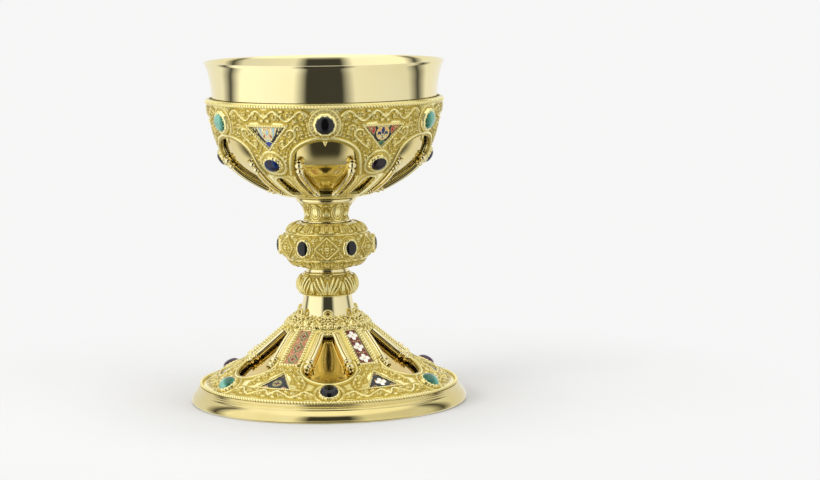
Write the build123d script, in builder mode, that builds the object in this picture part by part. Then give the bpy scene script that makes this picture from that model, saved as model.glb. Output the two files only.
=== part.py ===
from build123d import *
import math
import os

# Communion chalice: a plain flared cup in an openwork calyx, on a neck, a jewelled
# knop, a small lower knop and a plain stem cone, over an openwork foot on a moulded
# base ring.  One tie rod and nut hold the stack together.
# Axis +Z, origin on the table under the centre of the foot, millimetres.
# Angle 0 is the front, -Y; angles run towards +X.

os.makedirs("parts", exist_ok=True)

# ---------------------------------------------------------------- driving sizes
HEIGHT = 190.0            # table to lip
LIP_R = 66.5              # cup lip, outside
CUP_WALL = 1.0
CALYX_WALL = 1.4
CUP_GAP = 2.4             # calyx outside to cup outside
FOOT_WALL = 1.5
LINER_GAP = 2.7           # foot outside to liner outside
LINER_WALL = 1.0
FOLDS = 6                 # arches round the calyx and round the foot
BIG_STONE_R = 5.5
SMALL_STONE = (4.9, 4.2)    # half width, half height
FOOT_STONE_R = 5.2
KNOP_STONE = (3.5, 4.25)  # half width, half height
ROD_R = 4.0               # M8 tie rod
BORE_R = 5.0              # clearance round the rod
ROPE_R = 0.9

# outside of the calyx, bottom to lip (r, z)
CALYX = [(17.0, 114.0), (22.4, 115.0), (28.0, 116.9), (35.4, 120.4), (42.0, 124.2), (47.7, 128.1),
         (52.2, 132.1), (55.6, 136.2), (57.8, 140.4), (60.4, 148.0), (62.9, 156.0), (64.6, 164.0), (65.3, 170.6)]
# outside of the plain cup above the calyx
CUP_TOP = [(62.3, 168.0), (62.5, 172.0), (63.0, 177.0), (64.1, 182.5), (65.3, 186.7), (LIP_R, HEIGHT - 0.35)]
NECK = [(12.6, 101.2), (12.0, 103.2), (12.3, 106.0), (13.3, 109.0), (14.9, 111.1), (16.2, 112.0)]
KNOP_TOP = [(22.5, 95.0), (21.4, 96.8), (19.5, 98.4), (17.0, 99.5), (14.2, 100.0)]
KNOP_BAND = [(22.4, 80.4), (24.3, 82.5), (25.5, 85.0), (25.9, 87.6), (25.4, 90.4), (24.3, 92.8), (22.5, 95.0)]
KNOP_LOW = [(14.4, 75.4), (17.6, 76.2), (20.3, 78.0), (22.4, 80.4)]
LOWER_KNOP = [(13.8, 59.5), (15.3, 61.1), (16.4, 63.4), (16.7, 65.8), (16.1, 68.1), (14.7, 70.1), (12.9, 71.7), (12.4, 72.3)]
STEM = [(15.8, 47.2), (15.0, 50.0), (14.2, 53.2), (13.7, 56.4), (13.5, 59.5)]
# outside of the foot, top to bottom
FOOT = [(18.6, 47.2), (21.2, 44.4), (26.1, 40.0), (30.8, 36.0), (35.4, 32.0), (40.1, 28.0), (45.1, 24.2),
        (50.4, 20.9), (56.0, 18.0), (61.6, 15.0), (66.2, 12.3), (69.6, 10.4), (71.0, 9.8)]
FOOT_BASE_Z = 9.8


# ---------------------------------------------------------------- profile helpers
def shifted(points, distance):
    """The curve moved sideways by distance, to the left of its direction."""
    moved = []
    for i, (r, z) in enumerate(points):
        a = points[max(i - 1, 0)]
        b = points[min(i + 1, len(points) - 1)]
        dr, dz = b[0] - a[0], b[1] - a[1]
        n = math.hypot(dr, dz)
        moved.append((r - dz / n * distance, z + dr / n * distance))
    return moved


def level_ends(points, first_z=None, last_z=None):
    """The curve cut, or run on along its end slope, to the end heights given."""
    out = list(points)
    for end_z, at_start in ((first_z, True), (last_z, False)):
        if end_z is None:
            continue
        run = out if at_start else list(reversed(out))
        side = 1.0 if run[-1][1] > end_z else -1.0
        while len(run) > 3 and (run[1][1] - end_z) * side < 0.4:
            run = run[1:]
        (r0, z0), (r1, z1) = run[0], run[1]
        run[0] = (r0 + (end_z - z0) * (r1 - r0) / (z1 - z0), end_z)
        out = run if at_start else list(reversed(run))
    return out


def radius_at(points, z):
    """Radius of a curve at height z, by straight runs between its points."""
    for (r0, z0), (r1, z1) in zip(points, points[1:]):
        if min(z0, z1) <= z <= max(z0, z1):
            return r0 + (r1 - r0) * (z - z0) / (z1 - z0)
    raise ValueError(z)


def surface_plane(points, z, angle):
    """Plane on a turned surface at height z and angle, facing straight out of it."""
    r = radius_at(points, z)
    ra, rb = radius_at(points, z - 0.8), radius_at(points, z + 0.8)
    n = math.hypot(1.6, rb - ra)
    nr, nz = 1.6 / n, -(rb - ra) / n
    s, c = math.sin(math.radians(angle)), math.cos(math.radians(angle))
    return Plane(origin=(r * s, -r * c, z), x_dir=(c, s, 0), z_dir=(nr * s, -nr * c, nz))


def facing(angle):
    """Upright plane through the axis whose normal points outwards at angle."""
    s, c = math.sin(math.radians(angle)), math.cos(math.radians(angle))
    return Plane(origin=(0, 0, 0), x_dir=(c, s, 0), z_dir=(s, -c, 0))


STEP_DEG = 360.0 / FOLDS


def ring_of(one, count=FOLDS, start=0.0):
    """Copies of one finished part round the axis, as separate solids."""
    step = 360.0 / count
    return [one.part.rotate(Axis.Z, start + k * step) for k in range(count)]


def band_between(outer, inner):
    """Turned solid between two curves, used to trim plaques and wires to the surface."""
    with BuildPart() as band:
        with BuildSketch(Plane.XZ):
            with BuildLine():
                Spline(*outer)
                Line(outer[-1], inner[-1])
                Spline(*reversed(inner))
                Line(inner[0], outer[0])
            make_face()
        revolve(axis=Axis.Z)
    return band.part


def core_inside(points):
    """Turned solid of everything inside a curve."""
    with BuildPart() as core:
        with BuildSketch(Plane.XZ):
            with BuildLine():
                Line((0, points[0][1]), points[0])
                Spline(*points)
                Line(points[-1], (0, points[-1][1]))
                Line((0, points[-1][1]), (0, points[0][1]))
            make_face()
        revolve(axis=Axis.Z)
    return core.part


def shrunk(points, d):
    """Polygon with every side moved inwards by d (counter-clockwise or clockwise)."""
    n = len(points)
    area = sum(points[i][0] * points[(i + 1) % n][1] - points[(i + 1) % n][0] * points[i][1] for i in range(n))
    sign = 1.0 if area > 0 else -1.0
    lines = []
    for i in range(n):
        (x0, y0), (x1, y1) = points[i], points[(i + 1) % n]
        dx, dy = x1 - x0, y1 - y0
        m = math.hypot(dx, dy)
        nx, ny = -dy / m * sign, dx / m * sign
        lines.append((x0 + nx * d, y0 + ny * d, dx, dy))
    out = []
    for i in range(n):
        x0, y0, ax, ay = lines[i - 1]
        x1, y1, bx, by = lines[i]
        t = ((x1 - x0) * by - (y1 - y0) * bx) / (ax * by - ay * bx)
        out.append((x0 + ax * t, y0 + ay * t))
    return out


# calyx curves: from the outside inwards is to the left of the upward direction
CALYX_IN = level_ends(shifted(CALYX, CALYX_WALL), 115.2, 170.6)
CUP_LOW = shifted(CALYX, CUP_GAP)[2:-1]
CUP_OUT = [(0.0, 117.2), (13.5, 117.2), (20.5, 117.5)] + CUP_LOW[:-1] + CUP_TOP
CUP_OUT_CURVE = CUP_OUT[1:]
CUP_IN_CURVE = level_ends(shifted(CUP_OUT_CURVE, CUP_WALL), None, HEIGHT - 0.35)
FOOT_IN = level_ends(shifted(FOOT, -FOOT_WALL), 47.2, FOOT_BASE_Z)
LINER_OUT = level_ends(shifted(FOOT, -LINER_GAP), 46.4, FOOT_BASE_Z)
LINER_IN = level_ends(shifted(FOOT, -LINER_GAP - LINER_WALL), 46.0, FOOT_BASE_Z)

finished = []


def finish(builder, label):
    builder.part.label = label
    export_step(builder.part, "parts/" + label + ".step")
    finished.append(label)


# ================================================================ cup and its boss
with BuildPart() as cup:
    with BuildSketch(Plane.XZ):
        with BuildLine():
            Line((0, 117.2), CUP_OUT_CURVE[0])
            Spline(*CUP_OUT_CURVE)
            ThreePointArc(CUP_OUT_CURVE[-1], ((LIP_R + CUP_IN_CURVE[-1][0]) / 2, HEIGHT), CUP_IN_CURVE[-1])
            Spline(*reversed(CUP_IN_CURVE))
            Line(CUP_IN_CURVE[0], (0, CUP_IN_CURVE[0][1]))
            Line((0, CUP_IN_CURVE[0][1]), (0, 117.2))
        make_face()
    revolve(axis=Axis.Z)
finish(cup, "cup")

with BuildPart() as cup_boss:
    # flange soldered under the cup, shank down through the calyx floor
    with BuildSketch(Plane.XY.offset(115.2)):
        Circle(13.0)
    extrude(amount=2.0)
    with BuildSketch(Plane.XY.offset(105.0)):
        Circle(8.0)
    extrude(amount=10.2)
    with BuildSketch(Plane.XY.offset(105.0)):
        Circle(ROD_R + 0.05)
    extrude(amount=10.4, mode=Mode.SUBTRACT)
    chamfer(cup_boss.edges().filter_by(GeomType.CIRCLE).group_by(Axis.Z)[0], 0.5)
finish(cup_boss, "cup_boss")

# ================================================================ calyx
# window outline, half of it, seen from straight in front (x, z)
WINDOW_SIDE = [(6.4, 116.6), (10.1, 120.4), (13.1, 124.2), (15.7, 128.1), (16.5, 132.1), (16.8, 136.5), (16.6, 140.2)]
WINDOW_TOP_Z = 149.6


def window_outline(grow=0.0):
    """Arch-headed window: straight-sided below, half an ellipse above."""
    side = [(x + grow, z) for x, z in WINDOW_SIDE]
    side[0] = (side[0][0], side[0][1] - grow)
    left = [(-x, z) for x, z in side]
    top = WINDOW_TOP_Z + grow
    half, spring = side[-1]
    arc = [(half * math.cos(math.radians(a)), spring + (top - spring) * math.sin(math.radians(a))) for a in (30, 60, 90, 120, 150)]
    return side, arc, left


# pockets for the enamel plaques, 0.9 deep
TRI_Z_TOP, TRI_Z_TIP, TRI_HALF = 157.0, 145.4, 10.9
SLOT = [(3.5, 117.6), (3.8, 127.4), (2.4, 128.4), (-2.4, 128.4), (-3.8, 127.4), (-3.5, 117.6)]   # between the strips, under each lobe
TRIANGLE_C = [(TRI_HALF, TRI_Z_TOP), (-TRI_HALF, TRI_Z_TOP), (0.0, TRI_Z_TIP)]
C_POCKET = shifted(CALYX, 0.9)
C_ENAMEL_TOP = shifted(CALYX, 0.25)
C_PROUD = shifted(CALYX, -2.0)




def pocket(points, angle, proud, floor):
    """Cutter for one enamel pocket on a turned surface."""
    skin = band_between(proud, floor)
    with BuildPart() as cutter:
        with BuildSketch(facing(angle)):
            with BuildLine():
                Polyline(*points, close=True)
            make_face()
        extrude(amount=80.0)
        add(skin, mode=Mode.INTERSECT)
    return cutter


calyx_pockets = ring_of(pocket(TRIANGLE_C, 30.0, C_PROUD, C_POCKET))

with BuildPart() as calyx_shell:
    with BuildSketch(Plane.XZ):
        with BuildLine():
            Spline(*CALYX)
            Line(CALYX[-1], CALYX_IN[-1])
            Spline(*reversed(CALYX_IN))
            Line(CALYX_IN[0], (8.6, 115.2))
            Line((8.6, 115.2), (8.6, 114.0))
            Line((8.6, 114.0), CALYX[0])
        make_face()
    revolve(axis=Axis.Z)
    side, arc, left = window_outline()
    for k in range(FOLDS):
        with BuildSketch(facing(k * STEP_DEG)):
            with BuildLine():
                Polyline(*side)
                Spline(side[-1], *arc, left[-1])
                Polyline(*reversed(left))
                Line(left[0], side[0])
            make_face()
        extrude(amount=80.0, mode=Mode.SUBTRACT)
        with BuildSketch(facing((k + 0.5) * STEP_DEG)):
            with BuildLine():
                Polyline(*SLOT, close=True)
            make_face()
        extrude(amount=80.0, mode=Mode.SUBTRACT)
    for piece in calyx_pockets:
        add(piece, mode=Mode.SUBTRACT)
finish(calyx_shell, "calyx_shell")

CLEAR = 0.03


def inlay(points, angle, bottom, top, reach=80.0):
    """Six plaques that fill an outline between two turned curves, one solid each."""
    with BuildPart() as one:
        with BuildSketch(facing(angle)):
            with BuildLine():
                Polyline(*points, close=True)
            make_face()
        extrude(amount=reach)
        add(band_between(top, bottom), mode=Mode.INTERSECT)
    return one


def frame_on(points, width, angle, bottom, top, reach=80.0):
    """Six raised frames round an outline, lying on a turned surface."""
    with BuildPart() as one:
        with BuildSketch(facing(angle)):
            with BuildLine():
                Polyline(*shrunk(points, -width), close=True)
            make_face()
            with BuildLine():
                Polyline(*points, close=True)
            make_face(mode=Mode.SUBTRACT)
        extrude(amount=reach)
        add(band_between(top, bottom), mode=Mode.INTERSECT)
    return one


one_triangle = inlay(shrunk(TRIANGLE_C, CLEAR), 30.0, shifted(CALYX, 0.87), C_ENAMEL_TOP)
with BuildPart() as calyx_triangle_enamels:
    add(ring_of(one_triangle))
finish(calyx_triangle_enamels, "calyx_triangle_enamels")

one_frame = frame_on(TRIANGLE_C, 1.2, 30.0, shifted(CALYX, -0.03), shifted(CALYX, -0.9))
with BuildPart() as calyx_triangle_ropes:
    add(ring_of(one_frame))
finish(calyx_triangle_ropes, "calyx_triangle_ropes")

# rope wire under the calyx lip
ROPE_C_Z = 167.7
rope_low = (radius_at(CALYX, ROPE_C_Z - ROPE_R) + 0.14, ROPE_C_Z - ROPE_R)
rope_high = (radius_at(CALYX, ROPE_C_Z + ROPE_R) + 0.14, ROPE_C_Z + ROPE_R)
with BuildPart() as calyx_lip_rope:
    with BuildSketch(Plane.XZ):
        with BuildLine():
            Line(rope_low, rope_high)
            ThreePointArc(rope_high, (radius_at(CALYX, ROPE_C_Z) + 0.14 + ROPE_R, ROPE_C_Z), rope_low)
        make_face()
    revolve(axis=Axis.Z)
finish(calyx_lip_rope, "calyx_lip_rope")

# colonnettes, capitals and bases inside each window, in the thickness of the wall
C_COL_BACK = shifted(CALYX, 2.25)
C_COL_FRONT = shifted(CALYX, -1.1)


def both_sides(points, bottom, top):
    """One part with the outline on the right and its mirror image on the left."""
    with BuildPart() as one:
        with BuildSketch(facing(0.0)):
            with BuildLine():
                Polyline(*points, close=True)
            make_face()
            with BuildLine():
                Polyline(*[(-x, z) for x, z in points], close=True)
            make_face()
        extrude(amount=90.0)
        add(band_between(top, bottom), mode=Mode.INTERSECT)
    return one


# outline points on the window's own side, so the capital meets the wall face to face
CAP_LOW_Z, CAP_HIGH_Z = 132.1, 138.2
one_capital = both_sides(
    [(11.2, CAP_LOW_Z), (16.5, CAP_LOW_Z), (16.8, 136.5), (16.8 - 0.2 * 1.7 / 3.7, CAP_HIGH_Z), (11.6, CAP_HIGH_Z)],
    C_COL_BACK, C_COL_FRONT)
with BuildPart() as calyx_capitals:
    add(ring_of(one_capital))
finish(calyx_capitals, "calyx_capitals")

BASE_C_Z = 119.4
base_edge = 6.4 + (10.1 - 6.4) * (BASE_C_Z - 116.6) / (120.4 - 116.6)
COL_W = 3.3
one_base = both_sides([(1.6, 116.6), (6.4, 116.6), (base_edge, BASE_C_Z), (base_edge - 4.6, BASE_C_Z)], C_COL_BACK, C_COL_FRONT)
with BuildPart() as calyx_column_bases:
    add(ring_of(one_base))
finish(calyx_column_bases, "calyx_column_bases")

shaft_outer = [(base_edge, BASE_C_Z)] + WINDOW_SIDE[1:4] + [(WINDOW_SIDE[4][0], CAP_LOW_Z)]
shaft_inner = [(x - COL_W, z) for x, z in reversed(shaft_outer)]
one_column = both_sides(shaft_outer + shaft_inner, shifted(CALYX, 1.9), shifted(CALYX, -0.7))
with BuildPart() as calyx_columns:
    add(ring_of(one_column))
finish(calyx_columns, "calyx_columns")


# ================================================================ stones and their settings
def one_setting(plane, half_w, half_h, curve, sink=2.2, rise=2.0):
    """Bezel cup: stands on the surface, with a seat for the stone."""
    with BuildPart() as one:
        with BuildSketch(plane.offset(-sink)):
            Ellipse(half_w + 0.8, half_h + 0.8)
        extrude(amount=sink + rise)
        with BuildSketch(plane.offset(0.8)):
            Ellipse(half_w, half_h)
        extrude(amount=rise, mode=Mode.SUBTRACT)
        add(core_inside(curve), mode=Mode.SUBTRACT)
    return one


def one_stone(plane, half_w, half_h, dome, round_off):
    """Cabochon: flat back, domed face."""
    with BuildPart() as one:
        with BuildSketch(plane.offset(0.82)):
            Ellipse(half_w - 0.04, half_h - 0.04)
        extrude(amount=dome)
        top = one.faces().sort_by(lambda f: (f.center() - plane.origin).dot(plane.z_dir))[-1]
        fillet(top.edges(), round_off)
    return one


BIG_Z, SMALL_Z, KNOP_Z, FOOT_STONE_Z = 158.7, 136.8, 87.6, 13.9
big_plane = surface_plane(CALYX, BIG_Z, 0.0)
one_big_bezel = one_setting(big_plane, BIG_STONE_R, BIG_STONE_R, shifted(CALYX, -0.03), 1.2)
with BuildPart() as calyx_large_bezels:
    add(ring_of(one_big_bezel))
finish(calyx_large_bezels, "calyx_large_bezels")
big_stone = one_stone(big_plane, BIG_STONE_R, BIG_STONE_R, 3.6, 3.2)
with BuildPart() as calyx_onyx_stones:
    add(ring_of(big_stone, 2))
finish(calyx_onyx_stones, "calyx_onyx_stones")
with BuildPart() as calyx_malachite_stones:
    add([big_stone.part.rotate(Axis.Z, a) for a in (60, -60)])
finish(calyx_malachite_stones, "calyx_malachite_stones")
with BuildPart() as calyx_amethyst_stones:
    add([big_stone.part.rotate(Axis.Z, a) for a in (120, -120)])
finish(calyx_amethyst_stones, "calyx_amethyst_stones")

small_plane = surface_plane(CALYX, SMALL_Z, 30.0)
one_small_bezel = one_setting(small_plane, *SMALL_STONE, shifted(CALYX, -0.03), 1.2, 1.8)
with BuildPart() as calyx_small_bezels:
    add(ring_of(one_small_bezel))
finish(calyx_small_bezels, "calyx_small_bezels")
small_stone = one_stone(small_plane, *SMALL_STONE, 3.0, 2.6)
with BuildPart() as calyx_garnet_stones:
    add(ring_of(small_stone, 3))
finish(calyx_garnet_stones, "calyx_garnet_stones")
with BuildPart() as calyx_sapphire_stones:
    add(ring_of(small_stone, 3, 60.0))
finish(calyx_sapphire_stones, "calyx_sapphire_stones")

# ================================================================ collar, neck, knop
with BuildPart() as collar_ring:
    with BuildSketch(Plane.XZ):
        with BuildLine():
            Line((8.6, 112.0), (16.6, 112.0))
            ThreePointArc((16.6, 112.0), (17.5, 113.0), (16.6, 114.0))
            Line((16.6, 114.0), (8.6, 114.0))
            Line((8.6, 114.0), (8.6, 112.0))
        make_face()
    revolve(axis=Axis.Z)
finish(collar_ring, "collar_ring")

with BuildPart() as neck:
    with BuildSketch(Plane.XZ):
        with BuildLine():
            Spline(*NECK)
            Line(NECK[-1], (13.2, 112.0))
            Spline((13.2, 112.0), (10.9, 109.0), (10.2, 105.0), (10.3, 101.2))
            Line((10.3, 101.2), NECK[0])
        make_face()
    revolve(axis=Axis.Z)
finish(neck, "neck")

with BuildPart() as neck_ring:
    with BuildSketch(Plane.XZ):
        with BuildLine():
            Line((BORE_R, 100.0), (12.9, 100.0))
            ThreePointArc((12.9, 100.0), (13.5, 100.6), (12.9, 101.2))
            Line((12.9, 101.2), (BORE_R, 101.2))
            Line((BORE_R, 101.2), (BORE_R, 100.0))
        make_face()
    revolve(axis=Axis.Z)
finish(neck_ring, "neck_ring")

with BuildPart() as knop_upper_dome:
    with BuildSketch(Plane.XZ):
        with BuildLine():
            Spline(*KNOP_TOP)
            Line(KNOP_TOP[-1], (BORE_R, 100.0))
            Line((BORE_R, 100.0), (BORE_R, 98.7))
            Line((BORE_R, 98.7), (14.0, 98.7))
            Spline((14.0, 98.7), (18.3, 97.2), (20.6, 95.0))
            Line((20.6, 95.0), KNOP_TOP[0])
        make_face()
    revolve(axis=Axis.Z)
finish(knop_upper_dome, "knop_upper_dome")

KNOP_BAND_IN = [(20.6, 80.4), (22.6, 82.9), (23.8, 85.2), (24.2, 87.6), (23.7, 90.2), (22.6, 92.4), (20.6, 95.0)]
with BuildPart() as knop_band:
    with BuildSketch(Plane.XZ):
        with BuildLine():
            Spline(*KNOP_BAND)
            Line(KNOP_BAND[-1], KNOP_BAND_IN[-1])
            Spline(*reversed(KNOP_BAND_IN))
            Line(KNOP_BAND_IN[0], KNOP_BAND[0])
        make_face()
    revolve(axis=Axis.Z)
finish(knop_band, "knop_band")

with BuildPart() as knop_lower_dome:
    with BuildSketch(Plane.XZ):
        with BuildLine():
            Spline(*KNOP_LOW)
            Line(KNOP_LOW[-1], (20.6, 80.4))
            Spline((20.6, 80.4), (18.2, 78.2), (14.0, 76.7))
            Line((14.0, 76.7), (BORE_R, 76.7))
            Line((BORE_R, 76.7), (BORE_R, 75.4))
            Line((BORE_R, 75.4), KNOP_LOW[0])
        make_face()
    revolve(axis=Axis.Z)
finish(knop_lower_dome, "knop_lower_dome")

knop_plane = surface_plane(KNOP_BAND, KNOP_Z, 30.0)
one_knop_bezel = one_setting(knop_plane, *KNOP_STONE, shifted(KNOP_BAND, -0.03), 1.6, 1.5)
with BuildPart() as knop_bezels:
    add(ring_of(one_knop_bezel))
finish(knop_bezels, "knop_bezels")
knop_stone = one_stone(knop_plane, *KNOP_STONE, 2.4, 2.0)
with BuildPart() as knop_stones:
    add(ring_of(knop_stone))
finish(knop_stones, "knop_stones")

with BuildPart() as spacer_ring:
    with BuildSketch(Plane.XZ):
        with BuildLine():
            Line((BORE_R, 72.3), (12.2, 72.3))
            ThreePointArc((12.2, 72.3), (11.4, 73.6), (12.2, 74.6))
            ThreePointArc((12.2, 74.6), (13.1, 74.9), (13.0, 75.4))
            Line((13.0, 75.4), (BORE_R, 75.4))
            Line((BORE_R, 75.4), (BORE_R, 72.3))
        make_face()
    revolve(axis=Axis.Z)
finish(spacer_ring, "spacer_ring")

with BuildPart() as lower_knop:
    with BuildSketch(Plane.XZ):
        with BuildLine():
            Spline(*LOWER_KNOP)
            Line(LOWER_KNOP[-1], (10.4, 72.3))
            Spline((10.4, 72.3), (14.2, 69.0), (14.9, 65.8), (14.3, 62.6), (11.8, 59.5))
            Line((11.8, 59.5), LOWER_KNOP[0])
        make_face()
    revolve(axis=Axis.Z)
finish(lower_knop, "lower_knop")

with BuildPart() as stem_cone:
    with BuildSketch(Plane.XZ):
        with BuildLine():
            Spline(*STEM)
            Line(STEM[-1], (11.8, 59.5))
            Line((11.8, 59.5), (13.6, 47.2))
            Line((13.6, 47.2), STEM[0])
        make_face()
    revolve(axis=Axis.Z)
finish(stem_cone, "stem_cone")

# ================================================================ foot
F_WIN = [(5.2, 39.8), (6.8, 36.0), (9.8, 30.0), (11.4, 27.6), (13.0, 25.4), (13.7, 23.6)]   # right side, top to spring
F_WIN_LOW = 18.3
F_PANEL = [(3.6, 42.0), (4.7, 25.9), (-4.7, 25.9), (-3.6, 42.0)]
F_TRI = [(9.7, 15.6), (-9.7, 15.6), (0.0, 21.8)]
F_POCKET = shifted(FOOT, -0.9)
F_PROUD = shifted(FOOT, 2.0)
foot_pockets = ring_of(pocket(F_PANEL, 30.0, F_PROUD, F_POCKET)) + ring_of(pocket(F_TRI, 30.0, F_PROUD, F_POCKET))

with BuildPart() as foot_shell:
    with BuildSketch(Plane.XZ):
        with BuildLine():
            Spline(*FOOT)
            Line(FOOT[-1], FOOT_IN[-1])
            Spline(*reversed(FOOT_IN))
            Line(FOOT_IN[0], FOOT[0])
        make_face()
    revolve(axis=Axis.Z)
    f_left = [(-x, z) for x, z in F_WIN]
    half, spring = F_WIN[-1]
    f_arc = [(half * math.cos(math.radians(a)), spring - (spring - F_WIN_LOW) * math.sin(math.radians(a))) for a in (30, 60, 90, 120, 150)]
    for k in range(FOLDS):
        with BuildSketch(facing(k * STEP_DEG)):
            with BuildLine():
                Polyline(*F_WIN)
                Spline(F_WIN[-1], *f_arc, f_left[-1])
                Polyline(*reversed(f_left))
                Line(f_left[0], F_WIN[0])
            make_face()
        extrude(amount=80.0, mode=Mode.SUBTRACT)

    for piece in foot_pockets:
        add(piece, mode=Mode.SUBTRACT)
finish(foot_shell, "foot_shell")

one_f_panel = inlay(shrunk(F_PANEL, CLEAR), 30.0, shifted(FOOT, -0.87), shifted(FOOT, -0.25))
with BuildPart() as foot_panel_enamels:
    add(ring_of(one_f_panel))
finish(foot_panel_enamels, "foot_panel_enamels")
one_f_tri = inlay(shrunk(F_TRI, CLEAR), 30.0, shifted(FOOT, -0.87), shifted(FOOT, -0.25))
with BuildPart() as foot_triangle_enamels:
    add(ring_of(one_f_tri))
finish(foot_triangle_enamels, "foot_triangle_enamels")
one_f_panel_rope = frame_on(F_PANEL, 1.7, 30.0, shifted(FOOT, 0.03), shifted(FOOT, 0.9))
with BuildPart() as foot_panel_ropes:
    add(ring_of(one_f_panel_rope))
finish(foot_panel_ropes, "foot_panel_ropes")
one_f_tri_rope = frame_on(F_TRI, 0.9, 30.0, shifted(FOOT, 0.03), shifted(FOOT, 0.9))
with BuildPart() as foot_triangle_ropes:
    add(ring_of(one_f_tri_rope))
finish(foot_triangle_ropes, "foot_triangle_ropes")

with BuildPart() as foot_liner:
    # plain polished cone behind the openwork, with the web that the nut pulls on
    with BuildSketch(Plane.XZ):
        with BuildLine():
            Spline(*LINER_OUT)
            Line(LINER_OUT[-1], LINER_IN[-1])
            Spline(*reversed(LINER_IN))
            Line(LINER_IN[0], (BORE_R, 46.0))
            Line((BORE_R, 46.0), (BORE_R, 47.2))
            Line((BORE_R, 47.2), (16.0, 47.2))
            Line((16.0, 47.2), LINER_OUT[0])
        make_face()
    revolve(axis=Axis.Z)
finish(foot_liner, "foot_liner")

F_COL_BACK = shifted(FOOT, -2.55)
F_COL_FRONT = shifted(FOOT, 1.1)
F_CAP_HIGH, F_CAP_LOW = 27.6, 23.6
one_f_cap = both_sides([(8.6, F_CAP_HIGH), (11.4, F_CAP_HIGH), (13.0, 25.4), (13.7, F_CAP_LOW), (10.2, F_CAP_LOW)], F_COL_BACK, F_COL_FRONT)
with BuildPart() as foot_capitals:
    add(ring_of(one_f_cap))
finish(foot_capitals, "foot_capitals")
F_COL_W = 2.7
f_shaft_outer = [(5.2, 39.8), (6.8, 36.0), (9.8, 30.0), (11.4, F_CAP_HIGH)]
f_shaft_inner = [(x - F_COL_W, z) for x, z in reversed(f_shaft_outer)]
one_f_column = both_sides(f_shaft_outer + f_shaft_inner, shifted(FOOT, -2.2), shifted(FOOT, 0.7))
with BuildPart() as foot_columns:
    add(ring_of(one_f_column))
finish(foot_columns, "foot_columns")

foot_plane = surface_plane(FOOT, FOOT_STONE_Z, 0.0)
one_f_bezel = one_setting(foot_plane, FOOT_STONE_R, FOOT_STONE_R, list(reversed(shifted(FOOT, 0.03))), 1.2)
with BuildPart() as foot_bezels:
    add(ring_of(one_f_bezel))
finish(foot_bezels, "foot_bezels")
foot_stone = one_stone(foot_plane, FOOT_STONE_R, FOOT_STONE_R, 3.5, 3.1)
with BuildPart() as foot_onyx_stones:
    add(ring_of(foot_stone, 2))
finish(foot_onyx_stones, "foot_onyx_stones")
with BuildPart() as foot_malachite_stones:
    add([foot_stone.part.rotate(Axis.Z, a) for a in (60, -60)])
finish(foot_malachite_stones, "foot_malachite_stones")
with BuildPart() as foot_amethyst_stones:
    add([foot_stone.part.rotate(Axis.Z, a) for a in (120, -120)])
finish(foot_amethyst_stones, "foot_amethyst_stones")

# crown: a ring that covers the top of the foot, with a finial over each window
with BuildPart() as foot_crown:
    with BuildSketch(Plane.XZ):
        with BuildLine():
            Polyline((15.95, 47.25), (18.7, 47.25), (21.3, 44.5), (22.75, 43.15), (23.45, 43.9), (22.1, 45.4),
                     (20.2, 47.5), (18.0, 48.4), (15.95, 48.4), close=True)
        make_face()
    revolve(axis=Axis.Z)
    for k in range(FOLDS):
        with BuildSketch(facing(k * STEP_DEG)):
            with BuildLine():
                Polyline((-4.6, 48.0), (4.6, 48.0), (4.9, 49.4), (3.4, 50.2), (2.2, 49.6), (2.6, 51.4),
                         (1.4, 52.8), (-1.4, 52.8), (-2.6, 51.4), (-2.2, 49.6), (-3.4, 50.2), (-4.9, 49.4), close=True)
            make_face()
            with Locations((0, 51.2)):
                Circle(1.0, mode=Mode.SUBTRACT)
        extrude(amount=17.6)
    # keep the finials as thin plates round the stem
    with BuildSketch(Plane.XY.offset(47.3)):
        Circle(15.95)
    extrude(amount=8.0, mode=Mode.SUBTRACT)
finish(foot_crown, "foot_crown")

with BuildPart() as foot_rim_rope:
    with BuildSketch(Plane.XZ):
        with Locations((71.45, FOOT_BASE_Z + 0.85)):
            Circle(0.8)
    revolve(axis=Axis.Z)
    add(core_inside(list(reversed(shifted(FOOT, 0.03)))), mode=Mode.SUBTRACT)
finish(foot_rim_rope, "foot_rim_rope")

with BuildPart() as base_ring:
    with BuildSketch(Plane.XZ):
        with BuildLine():
            Polyline((64.6, FOOT_BASE_Z), (72.2, FOOT_BASE_Z), (72.4, 9.1), (72.4, 8.5), (72.9, 8.2), (73.1, 7.7))
            ThreePointArc((73.1, 7.7), (73.9, 7.5), (74.0, 6.7))
            Line((74.0, 6.7), (74.2, 6.4))
            ThreePointArc((74.2, 6.4), (76.0, 4.8), (76.7, 2.4))
            Polyline((76.7, 2.4), (76.9, 1.7), (76.9, 1.1), (76.3, 0.4), (75.6, 0.0), (68.0, 0.0), (68.0, 1.2), (64.6, 7.8), (64.6, FOOT_BASE_Z))
        make_face()
    revolve(axis=Axis.Z)
finish(base_ring, "base_ring")

# ================================================================ tie rod, washer, nut
with BuildPart() as tie_rod:
    with BuildSketch(Plane.XY.offset(33.0)):
        Circle(ROD_R)
    extrude(amount=81.0)
    chamfer(tie_rod.edges().filter_by(GeomType.CIRCLE), 0.8)
finish(tie_rod, "tie_rod")

with BuildPart() as clamp_washer:
    with BuildSketch(Plane.XY.offset(44.4)):
        Circle(11.0)
        Circle(ROD_R + 0.3, mode=Mode.SUBTRACT)
    extrude(amount=1.6)
    chamfer(clamp_washer.edges().filter_by(GeomType.CIRCLE).group_by(Axis.Z)[0].sort_by(SortBy.LENGTH)[-1], 0.6)
finish(clamp_washer, "clamp_washer")

with BuildPart() as tie_nut:
    with BuildSketch(Plane.XY.offset(37.9)):
        RegularPolygon(7.5, 6)
        Circle(ROD_R + 0.05, mode=Mode.SUBTRACT)
    extrude(amount=6.5)
finish(tie_nut, "tie_nut")

print(len(finished), "nodes written")
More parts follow.
